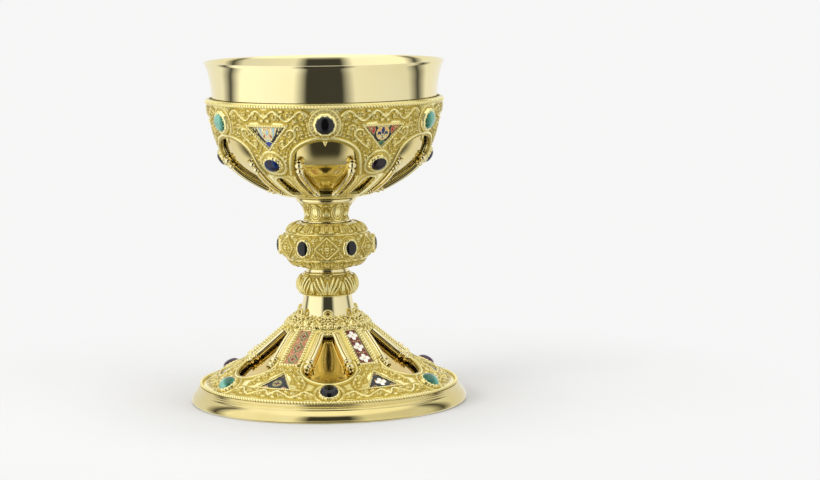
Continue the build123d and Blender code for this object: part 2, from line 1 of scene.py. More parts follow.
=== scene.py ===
import math

import bpy
import numpy as np
from mathutils import Matrix, Vector, geometry


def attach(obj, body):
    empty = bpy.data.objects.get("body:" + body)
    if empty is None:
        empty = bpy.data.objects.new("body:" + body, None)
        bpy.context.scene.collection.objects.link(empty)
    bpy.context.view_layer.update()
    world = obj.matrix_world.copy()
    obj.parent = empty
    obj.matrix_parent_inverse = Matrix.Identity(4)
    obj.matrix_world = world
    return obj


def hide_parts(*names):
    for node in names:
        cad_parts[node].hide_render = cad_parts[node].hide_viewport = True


# Communion chalice.  Lengths in the helpers are millimetres and angles degrees,
# 0 at the front (-Y) and growing towards +X; meshes are written in metres.

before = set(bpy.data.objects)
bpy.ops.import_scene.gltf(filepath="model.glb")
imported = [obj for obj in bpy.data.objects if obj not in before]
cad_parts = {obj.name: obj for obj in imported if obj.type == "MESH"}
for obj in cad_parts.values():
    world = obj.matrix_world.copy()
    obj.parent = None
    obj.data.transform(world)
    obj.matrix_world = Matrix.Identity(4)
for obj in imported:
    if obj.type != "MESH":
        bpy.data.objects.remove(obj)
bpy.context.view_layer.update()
MM = 0.001
FOLDS = 6


# =============================================================== turned surfaces
def cubic(t, y, tt):
    """Natural cubic spline through (t, y), read at tt."""
    n = len(t)
    h = np.diff(t)
    a = np.zeros((n, n))
    b = np.zeros(n)
    a[0, 0] = a[-1, -1] = 1.0
    for i in range(1, n - 1):
        a[i, i - 1], a[i, i], a[i, i + 1] = h[i - 1], 2 * (h[i - 1] + h[i]), h[i]
        b[i] = 6 * ((y[i + 1] - y[i]) / h[i] - (y[i] - y[i - 1]) / h[i - 1])
    m = np.linalg.solve(a, b)
    k = np.clip(np.searchsorted(t, tt) - 1, 0, n - 2)
    d0, d1 = tt - t[k], t[k + 1] - tt
    hk = h[k]
    return (m[k] * d1 ** 3 + m[k + 1] * d0 ** 3) / (6 * hk) + (y[k] / hk - m[k] * hk / 6) * d1 + (y[k + 1] / hk - m[k + 1] * hk / 6) * d0


class Turned:
    """A turned surface from its outline, listed bottom to top."""

    def __init__(self, points, smooth=True, n=1600):
        p = np.array(points, float)
        t = np.concatenate([[0], np.cumsum(np.hypot(*np.diff(p, axis=0).T))])
        tt = np.linspace(0, t[-1], n)
        if smooth and len(p) > 2:
            r, z = cubic(t, p[:, 0], tt), cubic(t, p[:, 1], tt)
        else:
            r, z = np.interp(tt, t, p[:, 0]), np.interp(tt, t, p[:, 1])
        self.s = np.concatenate([[0], np.cumsum(np.hypot(np.diff(r), np.diff(z)))])
        self.r, self.z = r, z
        dr, dz = np.gradient(r, self.s), np.gradient(z, self.s)
        m = np.hypot(dr, dz)
        self.nr, self.nz = dz / m, -dr / m
        self.length = self.s[-1]

    def R(self, s):
        return np.interp(s, self.s, self.r)

    def Z(self, s):
        return np.interp(s, self.s, self.z)

    def s_at(self, z):
        return np.interp(z, self.z, self.s)

    def place(self, th, s, h=0.0):
        """Points in metres at angle th (radians), length s along the outline, height h above it."""
        nr, nz = np.interp(s, self.s, self.nr), np.interp(s, self.s, self.nz)
        r = self.R(s) + nr * h
        return np.stack([r * np.sin(th), -r * np.cos(th), self.Z(s) + nz * h], -1) * MM

    def normal(self, th, s):
        nr, nz = np.interp(s, self.s, self.nr), np.interp(s, self.s, self.nz)
        return np.stack([nr * np.sin(th), -nr * np.cos(th), nz + 0 * th], -1)


# outlines, the same as the CAD's
LIP_R, HEIGHT = 66.5, 190.0
CALYX = Turned([(17.0, 114.0), (22.4, 115.0), (28.0, 116.9), (35.4, 120.4), (42.0, 124.2), (47.7, 128.1),
                (52.2, 132.1), (55.6, 136.2), (57.8, 140.4), (60.4, 148.0), (62.9, 156.0), (64.6, 164.0), (65.3, 170.6)])
FOOT = Turned([(71.0, 9.8), (69.6, 10.4), (66.2, 12.3), (61.6, 15.0), (56.0, 18.0), (50.4, 20.9), (45.1, 24.2), (40.1, 28.0),
               (35.4, 32.0), (30.8, 36.0), (26.1, 40.0), (21.2, 44.4), (18.6, 47.2)])
NECK = Turned([(12.6, 101.2), (12.0, 103.2), (12.3, 106.0), (13.3, 109.0), (14.9, 111.1), (16.2, 112.0)])
KNOP_TOP = Turned([(22.5, 95.0), (21.4, 96.8), (19.5, 98.4), (17.0, 99.5), (14.2, 100.0)])
KNOP_BAND = Turned([(22.4, 80.4), (24.3, 82.5), (25.5, 85.0), (25.9, 87.6), (25.4, 90.4), (24.3, 92.8), (22.5, 95.0)])
KNOP_LOW = Turned([(14.4, 75.4), (17.6, 76.2), (20.3, 78.0), (22.4, 80.4)])
LOWER_KNOP = Turned([(13.8, 59.5), (15.3, 61.1), (16.4, 63.4), (16.7, 65.8), (16.1, 68.1), (14.7, 70.1), (12.9, 71.7), (12.4, 72.3)])


# =============================================================== mesh helpers
pieces_made = []


def make(name, verts, faces, mats, smooth=True, face_mats=None, recess_shade_values=None):
    """One mesh object from points in metres and index faces."""
    me = bpy.data.meshes.new(name)
    verts = np.asarray(verts, float)
    sizes = np.array([len(f) for f in faces]) if not isinstance(faces, np.ndarray) else np.full(len(faces), faces.shape[1])
    flat = np.concatenate([np.asarray(f) for f in faces]) if not isinstance(faces, np.ndarray) else faces.ravel()
    me.vertices.add(len(verts))
    me.vertices.foreach_set("co", verts.ravel())
    me.loops.add(len(flat))
    me.loops.foreach_set("vertex_index", flat.astype(np.int32))
    me.polygons.add(len(sizes))
    me.polygons.foreach_set("loop_start", np.concatenate([[0], np.cumsum(sizes)[:-1]]).astype(np.int32))
    me.polygons.foreach_set("loop_total", sizes.astype(np.int32))
    me.polygons.foreach_set("use_smooth", np.full(len(sizes), smooth))
    for m in (mats if isinstance(mats, (list, tuple)) else [mats]):
        me.materials.append(m)
    if face_mats is not None:
        me.polygons.foreach_set("material_index", np.asarray(face_mats, np.int32))
    # per-point painted shade amount, stored as a mesh attribute that darkens the gold in the hollows
    if recess_shade_values is not None:
        at = me.attributes.new("painted_recess_shade", "FLOAT", "POINT")
        at.data.foreach_set("value", np.asarray(recess_shade_values, np.float32))
    me.update(calc_edges=True)
    me.validate()
    ob = bpy.data.objects.new(name, me)
    bpy.context.scene.collection.objects.link(ob)
    return ob


def put(ob, slot, *nodes):
    """The finished piece rides on the chalice and stands for its CAD nodes."""
    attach(ob, "root")
    if nodes:
        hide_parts(*nodes)
    pieces_made.append(ob.name)
    return ob


class Bag:
    """Collects many small shapes into one mesh."""

    def __init__(self):
        self.v, self.f, self.m, self.r, self.n = [], [], [], [], 0

    def add(self, verts, faces, mat=0, painted_recess_shade=0.0):
        verts = np.asarray(verts, float)
        self.v.append(verts)
        # per-point painted shade amount for the hollows, passed on to the mesh attribute
        self.r.append(np.broadcast_to(np.asarray(painted_recess_shade, float), (len(verts),)))
        faces = np.asarray(faces, np.int64)
        self.f.append((faces + self.n))
        self.m.append(np.full(len(faces), mat))
        self.n += len(verts)

    def build(self, name, mats, smooth=True):
        faces = []
        if len({f.shape[1] for f in self.f}) == 1:
            faces = np.concatenate(self.f)
        else:
            for f in self.f:
                faces.extend(list(f))
        return make(name, np.concatenate(self.v), faces, mats, smooth, np.concatenate(self.m), np.concatenate(self.r))


def grid_faces(rows, cols, wrap):
    """Quads of a rows x cols grid of points; wrap closes the column direction."""
    i = np.arange(rows - 1)[:, None]
    j = np.arange(cols if wrap else cols - 1)[None, :]
    j1 = (j + 1) % cols
    a, b, c, d = i * cols + j, i * cols + j1, (i + 1) * cols + j1, (i + 1) * cols + j
    return np.stack([np.broadcast_to(x, (rows - 1, j.shape[1])) for x in (a, b, c, d)], -1).reshape(-1, 4)


def lathe(name, outline, mats, seg=288):
    """Turned solid from a dense closed or open outline of (r, z)."""
    p = np.array(outline, float)
    th = np.arange(seg) * 2 * math.pi / seg
    v = np.stack([p[:, 0:1] * np.sin(th), -p[:, 0:1] * np.cos(th), np.broadcast_to(p[:, 1:2], (len(p), seg))], -1) * MM
    return make(name, v.reshape(-1, 3), grid_faces(len(p), seg, True), mats)


def outline(*runs):
    """Joins runs into one outline.  ('line', pts), ('curve', pts) or ('arc', a, mid, b)."""
    out = []
    for kind, pts in runs:
        pts = np.array(pts, float)
        if kind == "curve":
            t = Turned(pts, n=60)
            q = np.stack([t.r, t.z], -1)
        elif kind == "arc":
            a, m, b = [complex(*x) for x in pts]
            w = (b - a) / (m - a)
            if abs(w.imag) < 1e-9:
                q = pts[[0, 2]]
            else:
                c = (a - b) * (w - abs(w) ** 2) / 2j / w.imag - a
                c = -c
                r = abs(a - c)
                a0, a1, am = [math.atan2((x - c).imag, (x - c).real) for x in (a, b, m)]
                while a1 - a0 > math.pi * 2 - 1e-9:
                    a1 -= 2 * math.pi
                lo = (am - a0) % (2 * math.pi)
                hi = (a1 - a0) % (2 * math.pi)
                sweep = hi if lo <= hi else hi - 2 * math.pi
                ts = a0 + sweep * np.linspace(0, 1, 12)
                q = np.stack([c.real + r * np.cos(ts), c.imag + r * np.sin(ts)], -1)
        else:
            q = []
            for a, b in zip(pts, pts[1:]):
                n = max(2, int(np.hypot(*(b - a)) / 1.2) + 1)
                seg = a + (b - a) * np.linspace(0, 1, n)[:, None]
                # extra points close to the corners keep their edges tight
                if np.hypot(*(b - a)) > 0.5:
                    e = 0.12 / np.hypot(*(b - a))
                    seg = np.concatenate([seg[:1], [a + (b - a) * e], seg[1:-1], [b - (b - a) * e], seg[-1:]])
                q.extend(seg)
            q = np.array(q)
        out.extend(q if not out else q[1:] if np.allclose(out[-1], q[0], atol=1e-6) else q)
    return np.array(out)


def frames(points, normals):
    """Unit tangent, surface normal and side vector at each point of a path."""
    t = np.gradient(points, axis=0)
    t /= np.linalg.norm(t, axis=1)[:, None]
    n = normals - (normals * t).sum(1)[:, None] * t
    n /= np.linalg.norm(n, axis=1)[:, None]
    return t, n, np.cross(t, n)


def tube(bag, points, normals, radius, sides=10, closed=False, twist_pitch=None, lobes=2, depth=0.26, mat=0, flat=1.0):
    """Swept tube, points in metres and radius in mm; with twist_pitch it is a twisted rope."""
    pts = np.asarray(points, float)
    if closed:
        ring = np.concatenate([pts[-3:], pts, pts[:3]])
        nn = np.concatenate([normals[-3:], normals, normals[:3]])
        t, n, b = (x[3:-3] for x in frames(ring, nn))
    else:
        t, n, b = frames(pts, np.asarray(normals, float))
    rad = np.broadcast_to(np.asarray(radius, float), (len(pts),))
    d = np.linalg.norm(np.diff(pts, axis=0), axis=1) / MM
    s = np.concatenate([[0], np.cumsum(d)])
    a = np.arange(sides) * 2 * math.pi / sides
    rr = np.broadcast_to(rad[:, None], (len(pts), sides)).copy()
    if twist_pitch:
        total = s[-1] + (np.linalg.norm(pts[0] - pts[-1]) / MM if closed else 0)
        turns = max(1, round(total / twist_pitch)) if closed else total / twist_pitch
        phase = turns * s / total
        f = (phase[:, None] - lobes * a[None, :] / (2 * math.pi)) % 1.0
        swell = np.sqrt(np.clip(1 - (2 * f - 1) ** 2, 0, 1))
        rr = rr * (1 - depth + depth * swell)
        # painted shade: the dips of the twist are marked so the gold darkens there
        groove_shade = ((1 - swell) * 0.9).reshape(-1)
    else:
        groove_shade = 0.0
    v = pts[:, None, :] + MM * rr[..., None] * (np.cos(a)[None, :, None] * n[:, None, :] * flat + np.sin(a)[None, :, None] * b[:, None, :])
    f = grid_faces(len(pts), sides, True)
    if closed:
        last, first = (len(pts) - 1) * sides, 0
        j = np.arange(sides)
        f = np.concatenate([f, np.stack([last + j, last + (j + 1) % sides, first + (j + 1) % sides, first + j], -1)])
    bag.add(v.reshape(-1, 3), f, mat, groove_shade)


def resample(points, step, closed=False):
    """Points at an even spacing along a path, in the path's own units."""
    p = np.asarray(points, float)
    if closed:
        p = np.concatenate([p, p[:1]])
    s = np.concatenate([[0], np.cumsum(np.linalg.norm(np.diff(p, axis=0), axis=1))])
    n = max(4, int(round(s[-1] / step)))
    tt = np.linspace(0, s[-1], n + 1)
    if closed:
        tt = tt[:-1]
    return np.stack([np.interp(tt, s, p[:, k]) for k in range(p.shape[1])], -1)


def blob(bag, centre, axis, rx, ry, rz, side=None, rings=7, seg=12, mat=0, lobes=0, lobe_depth=0.0):
    """Ellipsoid: rz along axis, rx along side, ry across.  centre in metres, radii in mm."""
    ax = np.array(axis, float)
    ax /= np.linalg.norm(ax)
    sd = np.array(side if side is not None else ((0, 0, 1) if abs(ax[2]) < 0.9 else (1, 0, 0)), float)
    sd -= sd.dot(ax) * ax
    sd /= np.linalg.norm(sd)
    cr = np.cross(ax, sd)
    la = np.linspace(-math.pi / 2, math.pi / 2, rings + 1)
    lo = np.arange(seg) * 2 * math.pi / seg
    w = 1 + lobe_depth * np.cos(lobes * lo) if lobes else np.ones(seg)
    v = (np.cos(la)[:, None, None] * (np.cos(lo) * w)[None, :, None] * rx * sd + np.cos(la)[:, None, None] * (np.sin(lo) * w)[None, :, None] * ry * cr
         + np.sin(la)[:, None, None] * np.ones(seg)[None, :, None] * rz * ax)
    bag.add((np.array(centre) + v * MM).reshape(-1, 3), grid_faces(rings + 1, seg, True), mat)


def dist_to(u, v, pts, closed=False):
    """Distance from each (u, v) to a polyline."""
    p = np.asarray(pts, float)
    q = np.roll(p, -1, 0) if closed else p[1:]
    p = p if closed else p[:-1]
    best = np.full(u.shape, 1e9)
    for (x0, y0), (x1, y1) in zip(p, q):
        dx, dy = x1 - x0, y1 - y0
        m = dx * dx + dy * dy
        if m < 1e-12:
            continue
        k = np.clip(((u - x0) * dx + (v - y0) * dy) / m, 0, 1)
        d = (u - x0 - k * dx) ** 2 + (v - y0 - k * dy) ** 2
        np.minimum(best, d, out=best)
    return np.sqrt(best)


def inside(u, v, pts):
    """True where (u, v) is inside a closed polygon."""
    p = np.asarray(pts, float)
    res = np.zeros(u.shape, bool)
    for (x0, y0), (x1, y1) in zip(p, np.roll(p, -1, 0)):
        if y0 == y1:
            continue
        hit = ((v >= min(y0, y1)) & (v < max(y0, y1))) & (u < x0 + (v - y0) * (x1 - x0) / (y1 - y0))
        res ^= hit
    return res


def signed(u, v, pts):
    d = dist_to(u, v, pts, True)
    return np.where(inside(u, v, pts), -d, d)


class Relief:
    """Chased relief on a turned surface: heights over half of one fold, mirrored and repeated round."""

    def __init__(self, curve, s0, s1, cell, half=30.0, cols=None):
        self.c, self.s0, self.s1 = curve, s0, s1
        self.rows = max(6, int(round((s1 - s0) / cell)))
        rmax = curve.R(np.linspace(s0, s1, 50)).max()
        self.cols = cols or max(8, int(round(rmax * math.radians(half) / cell)))
        self.half = math.radians(half)
        self.th = np.linspace(0, self.half, self.cols + 1)
        self.s = np.linspace(s0, s1, self.rows + 1)
        self.TH, self.S = np.meshgrid(self.th, self.s)
        self.R = curve.R(self.S)
        self.Zg = curve.Z(self.S)
        self.h = np.zeros_like(self.S)
        self.mute = np.ones_like(self.S)
        self.hole = np.full_like(self.S, 1e3)
        self.kw, self.kh = 1.0, 1.0

    def uv(self, deg, z=None):
        """Flat coordinates in mm about a point of the surface."""
        return self.R * (self.TH - math.radians(deg)), self.S - (self.c.s_at(z) if z is not None else 0.0)

    def flat(self, pts, deg, z=None):
        """(degrees, z) points as flat coordinates about the same point."""
        out = []
        for d, zz in pts:
            s = self.c.s_at(zz)
            out.append((self.c.R(s) * math.radians(d - deg), s - (self.c.s_at(z) if z is not None else 0.0)))
        return np.array(out, float)

    def near(self, u, v, pts, m):
        lo, hi = np.min(pts, 0) - m, np.max(pts, 0) + m
        return (u > lo[0]) & (u < hi[0]) & (v > lo[1]) & (v < hi[1])

    def ridge(self, pts, deg, z=None, w=0.5, h=0.4, closed=False, taper=None, where=None, lift=None):
        """Round-backed ridge along a path given in flat coordinates."""
        w, h = w * self.kw, h * self.kh
        u, v = self.uv(deg, z)
        k = self.near(u, v, pts, w + 0.3)
        if where is not None:
            k &= where
        if not k.any():
            return
        d = dist_to(u[k], v[k], pts, closed)
        base = self.h[k] if lift is None else np.full(d.shape, lift)
        up = base + h * np.sqrt(np.clip(1 - (d / w) ** 2, 0, 1))
        self.h[k] = np.where(d < w, np.maximum(self.h[k], up), self.h[k])

    def dot(self, deg, z, r, h, du=0.0, dv=0.0):
        r, h = r * self.kw, h * self.kh
        u, v = self.uv(deg, z)
        d = np.hypot(u - du, v - dv)
        k = d < r
        self.h[k] = np.maximum(self.h[k], h * np.sqrt(1 - (d[k] / r) ** 2) + 0.0)

    def dent(self, deg, z, r, h, du=0.0, dv=0.0):
        u, v = self.uv(deg, z)
        d = np.hypot(u - du, v - dv)
        k = d < r
        self.h[k] -= h * np.sqrt(1 - (d[k] / r) ** 2)

    def leaf(self, deg, z, du, dv, ang, length, width, h, vein=0.25):
        """Pointed leaf from (du, dv), pointing along ang."""
        u, v = self.uv(deg, z)
        width, h = width * (1 + self.kw) / 2, h * self.kh
        c, s = math.cos(math.radians(ang)), math.sin(math.radians(ang))
        x, y = (u - du) * c + (v - dv) * s, -(u - du) * s + (v - dv) * c
        t = np.clip(x / length, 0, 1)
        half = width / 2 * np.sin(math.pi * t ** 0.75) ** 0.9 + 1e-6
        k = (x > 0) & (x < length) & (np.abs(y) < half)
        q = np.abs(y[k]) / half[k]
        up = h * np.sqrt(np.clip(1 - q ** 2, 0, 1)) * (0.55 + 0.45 * np.sin(math.pi * t[k])) - vein * h * np.exp(-(y[k] / 0.22) ** 2)
        self.h[k] = np.maximum(self.h[k], up)

    def spiral(self, deg, z, du, dv, r0, turns, start, hand, w=0.45, h=0.45, tail=None, berry=True):
        """Vine scroll that curls into (du, dv), with an optional tail to (du, dv) points."""
        a = np.linspace(0, 1, int(18 * turns) + 6)
        rad = r0 * (1 - a) ** 0.85 + 0.35 * a
        ang = math.radians(start) + hand * 2 * math.pi * turns * a
        pts = np.stack([du + rad * np.cos(ang), dv + rad * np.sin(ang)], -1)
        if tail is not None:
            pts = np.concatenate([np.array(tail, float), pts])
        self.ridge(pts, deg, z, w, h, lift=0.0)
        if berry:
            self.dot(deg, z, w * 1.3, h * 1.25, du, dv)

    def mirror_index(self):
        c = self.cols
        cols = np.concatenate([np.arange(c, 0, -1), np.arange(0, c)])
        sign = np.concatenate([-np.ones(c), np.ones(c)])
        return cols, sign

    def cut(self, deg, polygon):
        """Marks an opening: polygon in flat coordinates about deg."""
        u, v = self.uv(deg)
        self.hole = np.minimum(self.hole, signed(u, v, polygon))

    def build(self, name, mats, wall=1.4, drop_ends=True, shade_depth=0.5):
        """Mesh of the whole ring, with clean edges round the openings and a wall behind them."""
        cell_s = (self.s1 - self.s0) / self.rows
        hole = self.hole.copy()
        dth, ds = np.zeros_like(self.h), np.zeros_like(self.h)
        if (hole < 900).any():
            gs, gt = np.gradient(hole, self.s, self.th)
            gt = gt / self.R
            m = np.hypot(gs, gt) + 1e-9
            cell_t = self.R * (self.th[1] - self.th[0])
            lim = 0.62 * np.maximum(cell_s, cell_t)
            k = np.abs(hole) < lim
            k[:, 0] &= True
            move = np.where(k, -hole / m, 0.0)
            ds = move * gs / m
            dth = move * gt / m / self.R
            dth[:, 0] = 0.0
            dth[:, -1] = 0.0
            ds[0, :] = 0.0
            ds[-1, :] = 0.0
            hole = np.where(k, 0.0, hole)
        idx, sign = self.mirror_index()
        n = len(idx) * FOLDS
        cols = np.tile(idx, FOLDS)
        sg = np.tile(sign, FOLDS)
        base = np.repeat(np.arange(FOLDS) * 2 * self.half, len(idx))
        TH = base[None, :] + sg[None, :] * (self.TH + dth)[:, cols]
        S = (self.S + ds)[:, cols]
        H = self.h[:, cols]
        F = hole[:, cols]
        v = self.c.place(TH, S, H).reshape(-1, 3)
        # painted shade: how far each point lies under the relief round it, which darkens the hollows in the gold
        # material
        near = H.copy()
        for _ in range(3):
            near = np.maximum.reduce([near, np.roll(near, 1, 1), np.roll(near, -1, 1)])
            near[1:] = np.maximum(near[1:], near[:-1])
            near[:-1] = np.maximum(near[:-1], near[1:])
        painted_shade = np.clip((near - H) / shade_depth, 0, 1)
        for _ in range(2):
            painted_shade = (painted_shade * 2 + np.roll(painted_shade, 1, 1) + np.roll(painted_shade, -1, 1)) / 4
        painted_shade = painted_shade.reshape(-1)
        q = grid_faces(self.rows + 1, n, True)
        state = F.reshape(-1)
        neg = state < 0
        nneg = neg[q].sum(1)
        keep = q[nneg == 0]
        one = q[nneg == 1]
        tri = []
        for row in one:
            tri.append([x for x in row if not neg[x]])
        used = np.zeros(len(v), bool)
        faces = list(keep)
        # a full quad whose four points all lie on the contour fills a corner of the opening
        on = (state == 0)
        if tri:
            faces += [np.array(t) for t in tri]
        full_on = on[keep].sum(1) == 4 if len(keep) else np.zeros(0, bool)
        if full_on.any():
            faces = [f for f, bad in zip(keep, full_on) if not bad] + [np.array(t) for t in tri]
        # walls down from every free edge
        edges = {}
        for f in faces:
            m = len(f)
            for i in range(m):
                a, b = int(f[i]), int(f[(i + 1) % m])
                if (b, a) in edges:
                    del edges[(b, a)]
                else:
                    edges[(a, b)] = True
        rim = sorted({x for e in edges for x in e})
        back = {x: len(v) + i for i, x in enumerate(rim)}
        S_flat, T_flat = S.reshape(-1), TH.reshape(-1)
        rim = np.array(rim, int)
        bv = self.c.place(T_flat[rim], S_flat[rim], -wall)
        v = np.concatenate([v, bv])
        # the walls of the openings get a fixed painted shade
        painted_shade = np.concatenate([painted_shade, np.full(len(bv), 0.25)])
        walls = [np.array([b, a, back[a], back[b]]) for a, b in edges]
        faces += walls
        # drop unused points
        flat = np.concatenate(faces)
        used = np.zeros(len(v), bool)
        used[flat] = True
        new = np.cumsum(used) - 1
        faces = [new[f] for f in faces]
        ob = make(name, v[used], faces, mats, True, None, painted_shade[used])
        # keep the walls crisp against the relief
        me = ob.data
        sharp = np.zeros(len(me.edges), bool)
        ev = np.empty(len(me.edges) * 2, np.int32)
        me.edges.foreach_get("vertices", ev)
        ev = ev.reshape(-1, 2)
        wall_keys = {(min(new[a], new[b]), max(new[a], new[b])) for a, b in edges}
        for i, (a, b) in enumerate(ev):
            if (min(a, b), max(a, b)) in wall_keys:
                sharp[i] = True
        at = me.attributes.get("sharp_edge") or me.attributes.new("sharp_edge", "BOOLEAN", "EDGE")
        at.data.foreach_set("value", sharp)
        return ob


# =============================================================== materials
def nodes_of(name):
    m = bpy.data.materials.new(name)
    m.use_nodes = True
    nt = m.node_tree
    return m, nt, nt.nodes["Principled BSDF"]


def add_node(nt, kind, **values):
    n = nt.nodes.new(kind)
    for k, v in values.items():
        if k.startswith("in_"):
            key = k[3:].replace("_", " ")
            n.inputs[int(key) if key.isdigit() else key].default_value = v
        else:
            setattr(n, k, v)
    return n


def ramp(nt, stops, interpolation="LINEAR"):
    n = nt.nodes.new("ShaderNodeValToRGB")
    cr = n.color_ramp
    cr.interpolation = interpolation
    while len(cr.elements) < len(stops):
        cr.elements.new(0.5)
    for e, (p, c) in zip(cr.elements, stops):
        e.position = p
        e.color = (*c, 1.0) if len(c) == 3 else c
    return n


def noise(nt, coord, scale, detail=3.0, rough=0.5, stretch=None):
    src = coord
    if stretch:
        mp = add_node(nt, "ShaderNodeMapping")
        mp.inputs["Scale"].default_value = stretch
        nt.links.new(coord, mp.inputs["Vector"])
        src = mp.outputs["Vector"]
    n = add_node(nt, "ShaderNodeTexNoise", in_Scale=scale, in_Detail=detail, in_Roughness=rough)
    nt.links.new(src, n.inputs["Vector"])
    return n


def gold(name, base, deep, rough, spread, bump, grain=2600.0, painted_recess_shade=None, waves=0.0, metal=1.0):
    """Gilt metal: base to deep colour in drifts, hollows darkened as painted shade and duller, fine surface grain."""
    m, nt, p = nodes_of(name)
    L = nt.links.new
    p.inputs["Metallic"].default_value = metal
    co = add_node(nt, "ShaderNodeTexCoord").outputs["Object"]
    drift = noise(nt, co, 34.0, 3.0)
    tone = ramp(nt, [(0.34, base), (0.72, deep)])
    L(drift.outputs["Fac"], tone.inputs["Fac"])
    colour = tone.outputs["Color"]
    fine = noise(nt, co, grain, 4.0, 0.6)
    smear = noise(nt, co, 260.0, 4.0, 0.6, (1.0, 1.0, 0.25))
    rmap = add_node(nt, "ShaderNodeMapRange", in_1=0.3, in_2=0.75, in_3=max(0.02, rough - spread), in_4=rough + spread)
    L(smear.outputs["Fac"], rmap.inputs[0])
    rough_out = rmap.outputs[0]
    # painted shade: where the per-point shade amount is high the colour darkens towards the given shade colour
    if painted_recess_shade:
        at = add_node(nt, "ShaderNodeAttribute", attribute_name="painted_recess_shade")
        shade_ramp = ramp(nt, [(0.12, (0, 0, 0)), (0.85, (1, 1, 1))])
        L(at.outputs["Fac"], shade_ramp.inputs["Fac"])
        mix = add_node(nt, "ShaderNodeMix", data_type="RGBA")
        L(shade_ramp.outputs["Color"], mix.inputs["Factor"])
        L(colour, mix.inputs[6])
        mix.inputs[7].default_value = (*painted_recess_shade, 1.0)
        colour = mix.outputs[2]
        add = add_node(nt, "ShaderNodeMath", operation="MULTIPLY_ADD", use_clamp=True, in_1=0.16)
        L(shade_ramp.outputs["Color"], add.inputs[0])
        L(rough_out, add.inputs[2])
        rough_out = add.outputs[0]
    L(colour, p.inputs["Base Color"])
    L(rough_out, p.inputs["Roughness"])
    b = add_node(nt, "ShaderNodeBump", in_Strength=bump, in_Distance=0.00012)
    L(fine.outputs["Fac"], b.inputs["Height"])
    last = b
    if waves:
        w = noise(nt, co, 46.0, 2.0)
        b2 = add_node(nt, "ShaderNodeBump", in_Strength=waves, in_Distance=0.0006)
        L(w.outputs["Fac"], b2.inputs["Height"])
        L(b.outputs["Normal"], b2.inputs["Normal"])
        last = b2
    L(last.outputs["Normal"], p.inputs["Normal"])
    return m


def stone(name, stops, scale, rough=0.05, distortion=2.5, bands=False, coat=0.6, ior=1.5):
    """Polished cabochon: clouded or banded colour under a gloss."""
    m, nt, p = nodes_of(name)
    L = nt.links.new
    co = add_node(nt, "ShaderNodeTexCoord").outputs["Object"]
    if bands:
        t = add_node(nt, "ShaderNodeTexWave", in_Scale=scale, in_Distortion=distortion, in_Detail=3.0)
        t.inputs["Detail Scale"].default_value = 1.6
        L(co, t.inputs["Vector"])
        out = t.outputs["Fac"]
    else:
        out = noise(nt, co, scale, 4.0, 0.55).outputs["Fac"]
    r = ramp(nt, stops)
    L(out, r.inputs["Fac"])
    L(r.outputs["Color"], p.inputs["Base Color"])
    q = noise(nt, co, 900.0, 2.0)
    rm = add_node(nt, "ShaderNodeMapRange", in_3=rough, in_4=rough + 0.06)
    L(q.outputs["Fac"], rm.inputs[0])
    L(rm.outputs[0], p.inputs["Roughness"])
    p.inputs["IOR"].default_value = ior
    p.inputs["Coat Weight"].default_value = coat
    p.inputs["Coat Roughness"].default_value = 0.03
    return m


def enamel(name, colour, vary=0.25):
    """Fired enamel: one colour, mottled, with a slightly pitted gloss."""
    m, nt, p = nodes_of(name)
    L = nt.links.new
    co = add_node(nt, "ShaderNodeTexCoord").outputs["Object"]
    n = noise(nt, co, 1100.0, 4.0, 0.6)
    lo = tuple(max(0.0, c * (1 - vary)) for c in colour)
    hi = tuple(min(1.0, c * (1 + vary) + 0.01) for c in colour)
    r = ramp(nt, [(0.3, lo), (0.7, hi)])
    L(n.outputs["Fac"], r.inputs["Fac"])
    L(r.outputs["Color"], p.inputs["Base Color"])
    rm = add_node(nt, "ShaderNodeMapRange", in_3=0.12, in_4=0.34)
    L(n.outputs["Fac"], rm.inputs[0])
    L(rm.outputs[0], p.inputs["Roughness"])
    b = add_node(nt, "ShaderNodeBump", in_Strength=0.25, in_Distance=0.00005)
    L(n.outputs["Fac"], b.inputs["Height"])
    L(b.outputs["Normal"], p.inputs["Normal"])
    p.inputs["IOR"].default_value = 1.38
    p.inputs["Coat Weight"].default_value = 0.0
    return m


M_POLISH = gold("gold_polished", (0.94, 0.84, 0.49), (0.92, 0.81, 0.43), 0.030, 0.012, 0.015, waves=0.035)
# Darker copies of the same gold as painted shade: the lower cup wall behind the windows, the foot liner under the
# openwork (gold_shaded) and the base ring, whose darker tint paints in its dark reflections.
M_CUP_PAINTED_SHADE = gold("gold_cup_painted_shade", (0.84, 0.71, 0.32), (0.76, 0.62, 0.25), 0.10, 0.03, 0.04, waves=0.06)
M_SHADE = gold("gold_shaded", (0.84, 0.66, 0.28), (0.74, 0.55, 0.20), 0.09, 0.03, 0.04, waves=0.06)
M_RING_PAINTED_SHADE = gold("gold_ring_painted_shade", (0.78, 0.66, 0.30), (0.70, 0.58, 0.23), 0.050, 0.02, 0.02, waves=0.05)
M_SATIN = gold("gold_satin", (0.89, 0.78, 0.36), (0.85, 0.73, 0.29), 0.15, 0.05, 0.10, waves=0.05, metal=0.90)
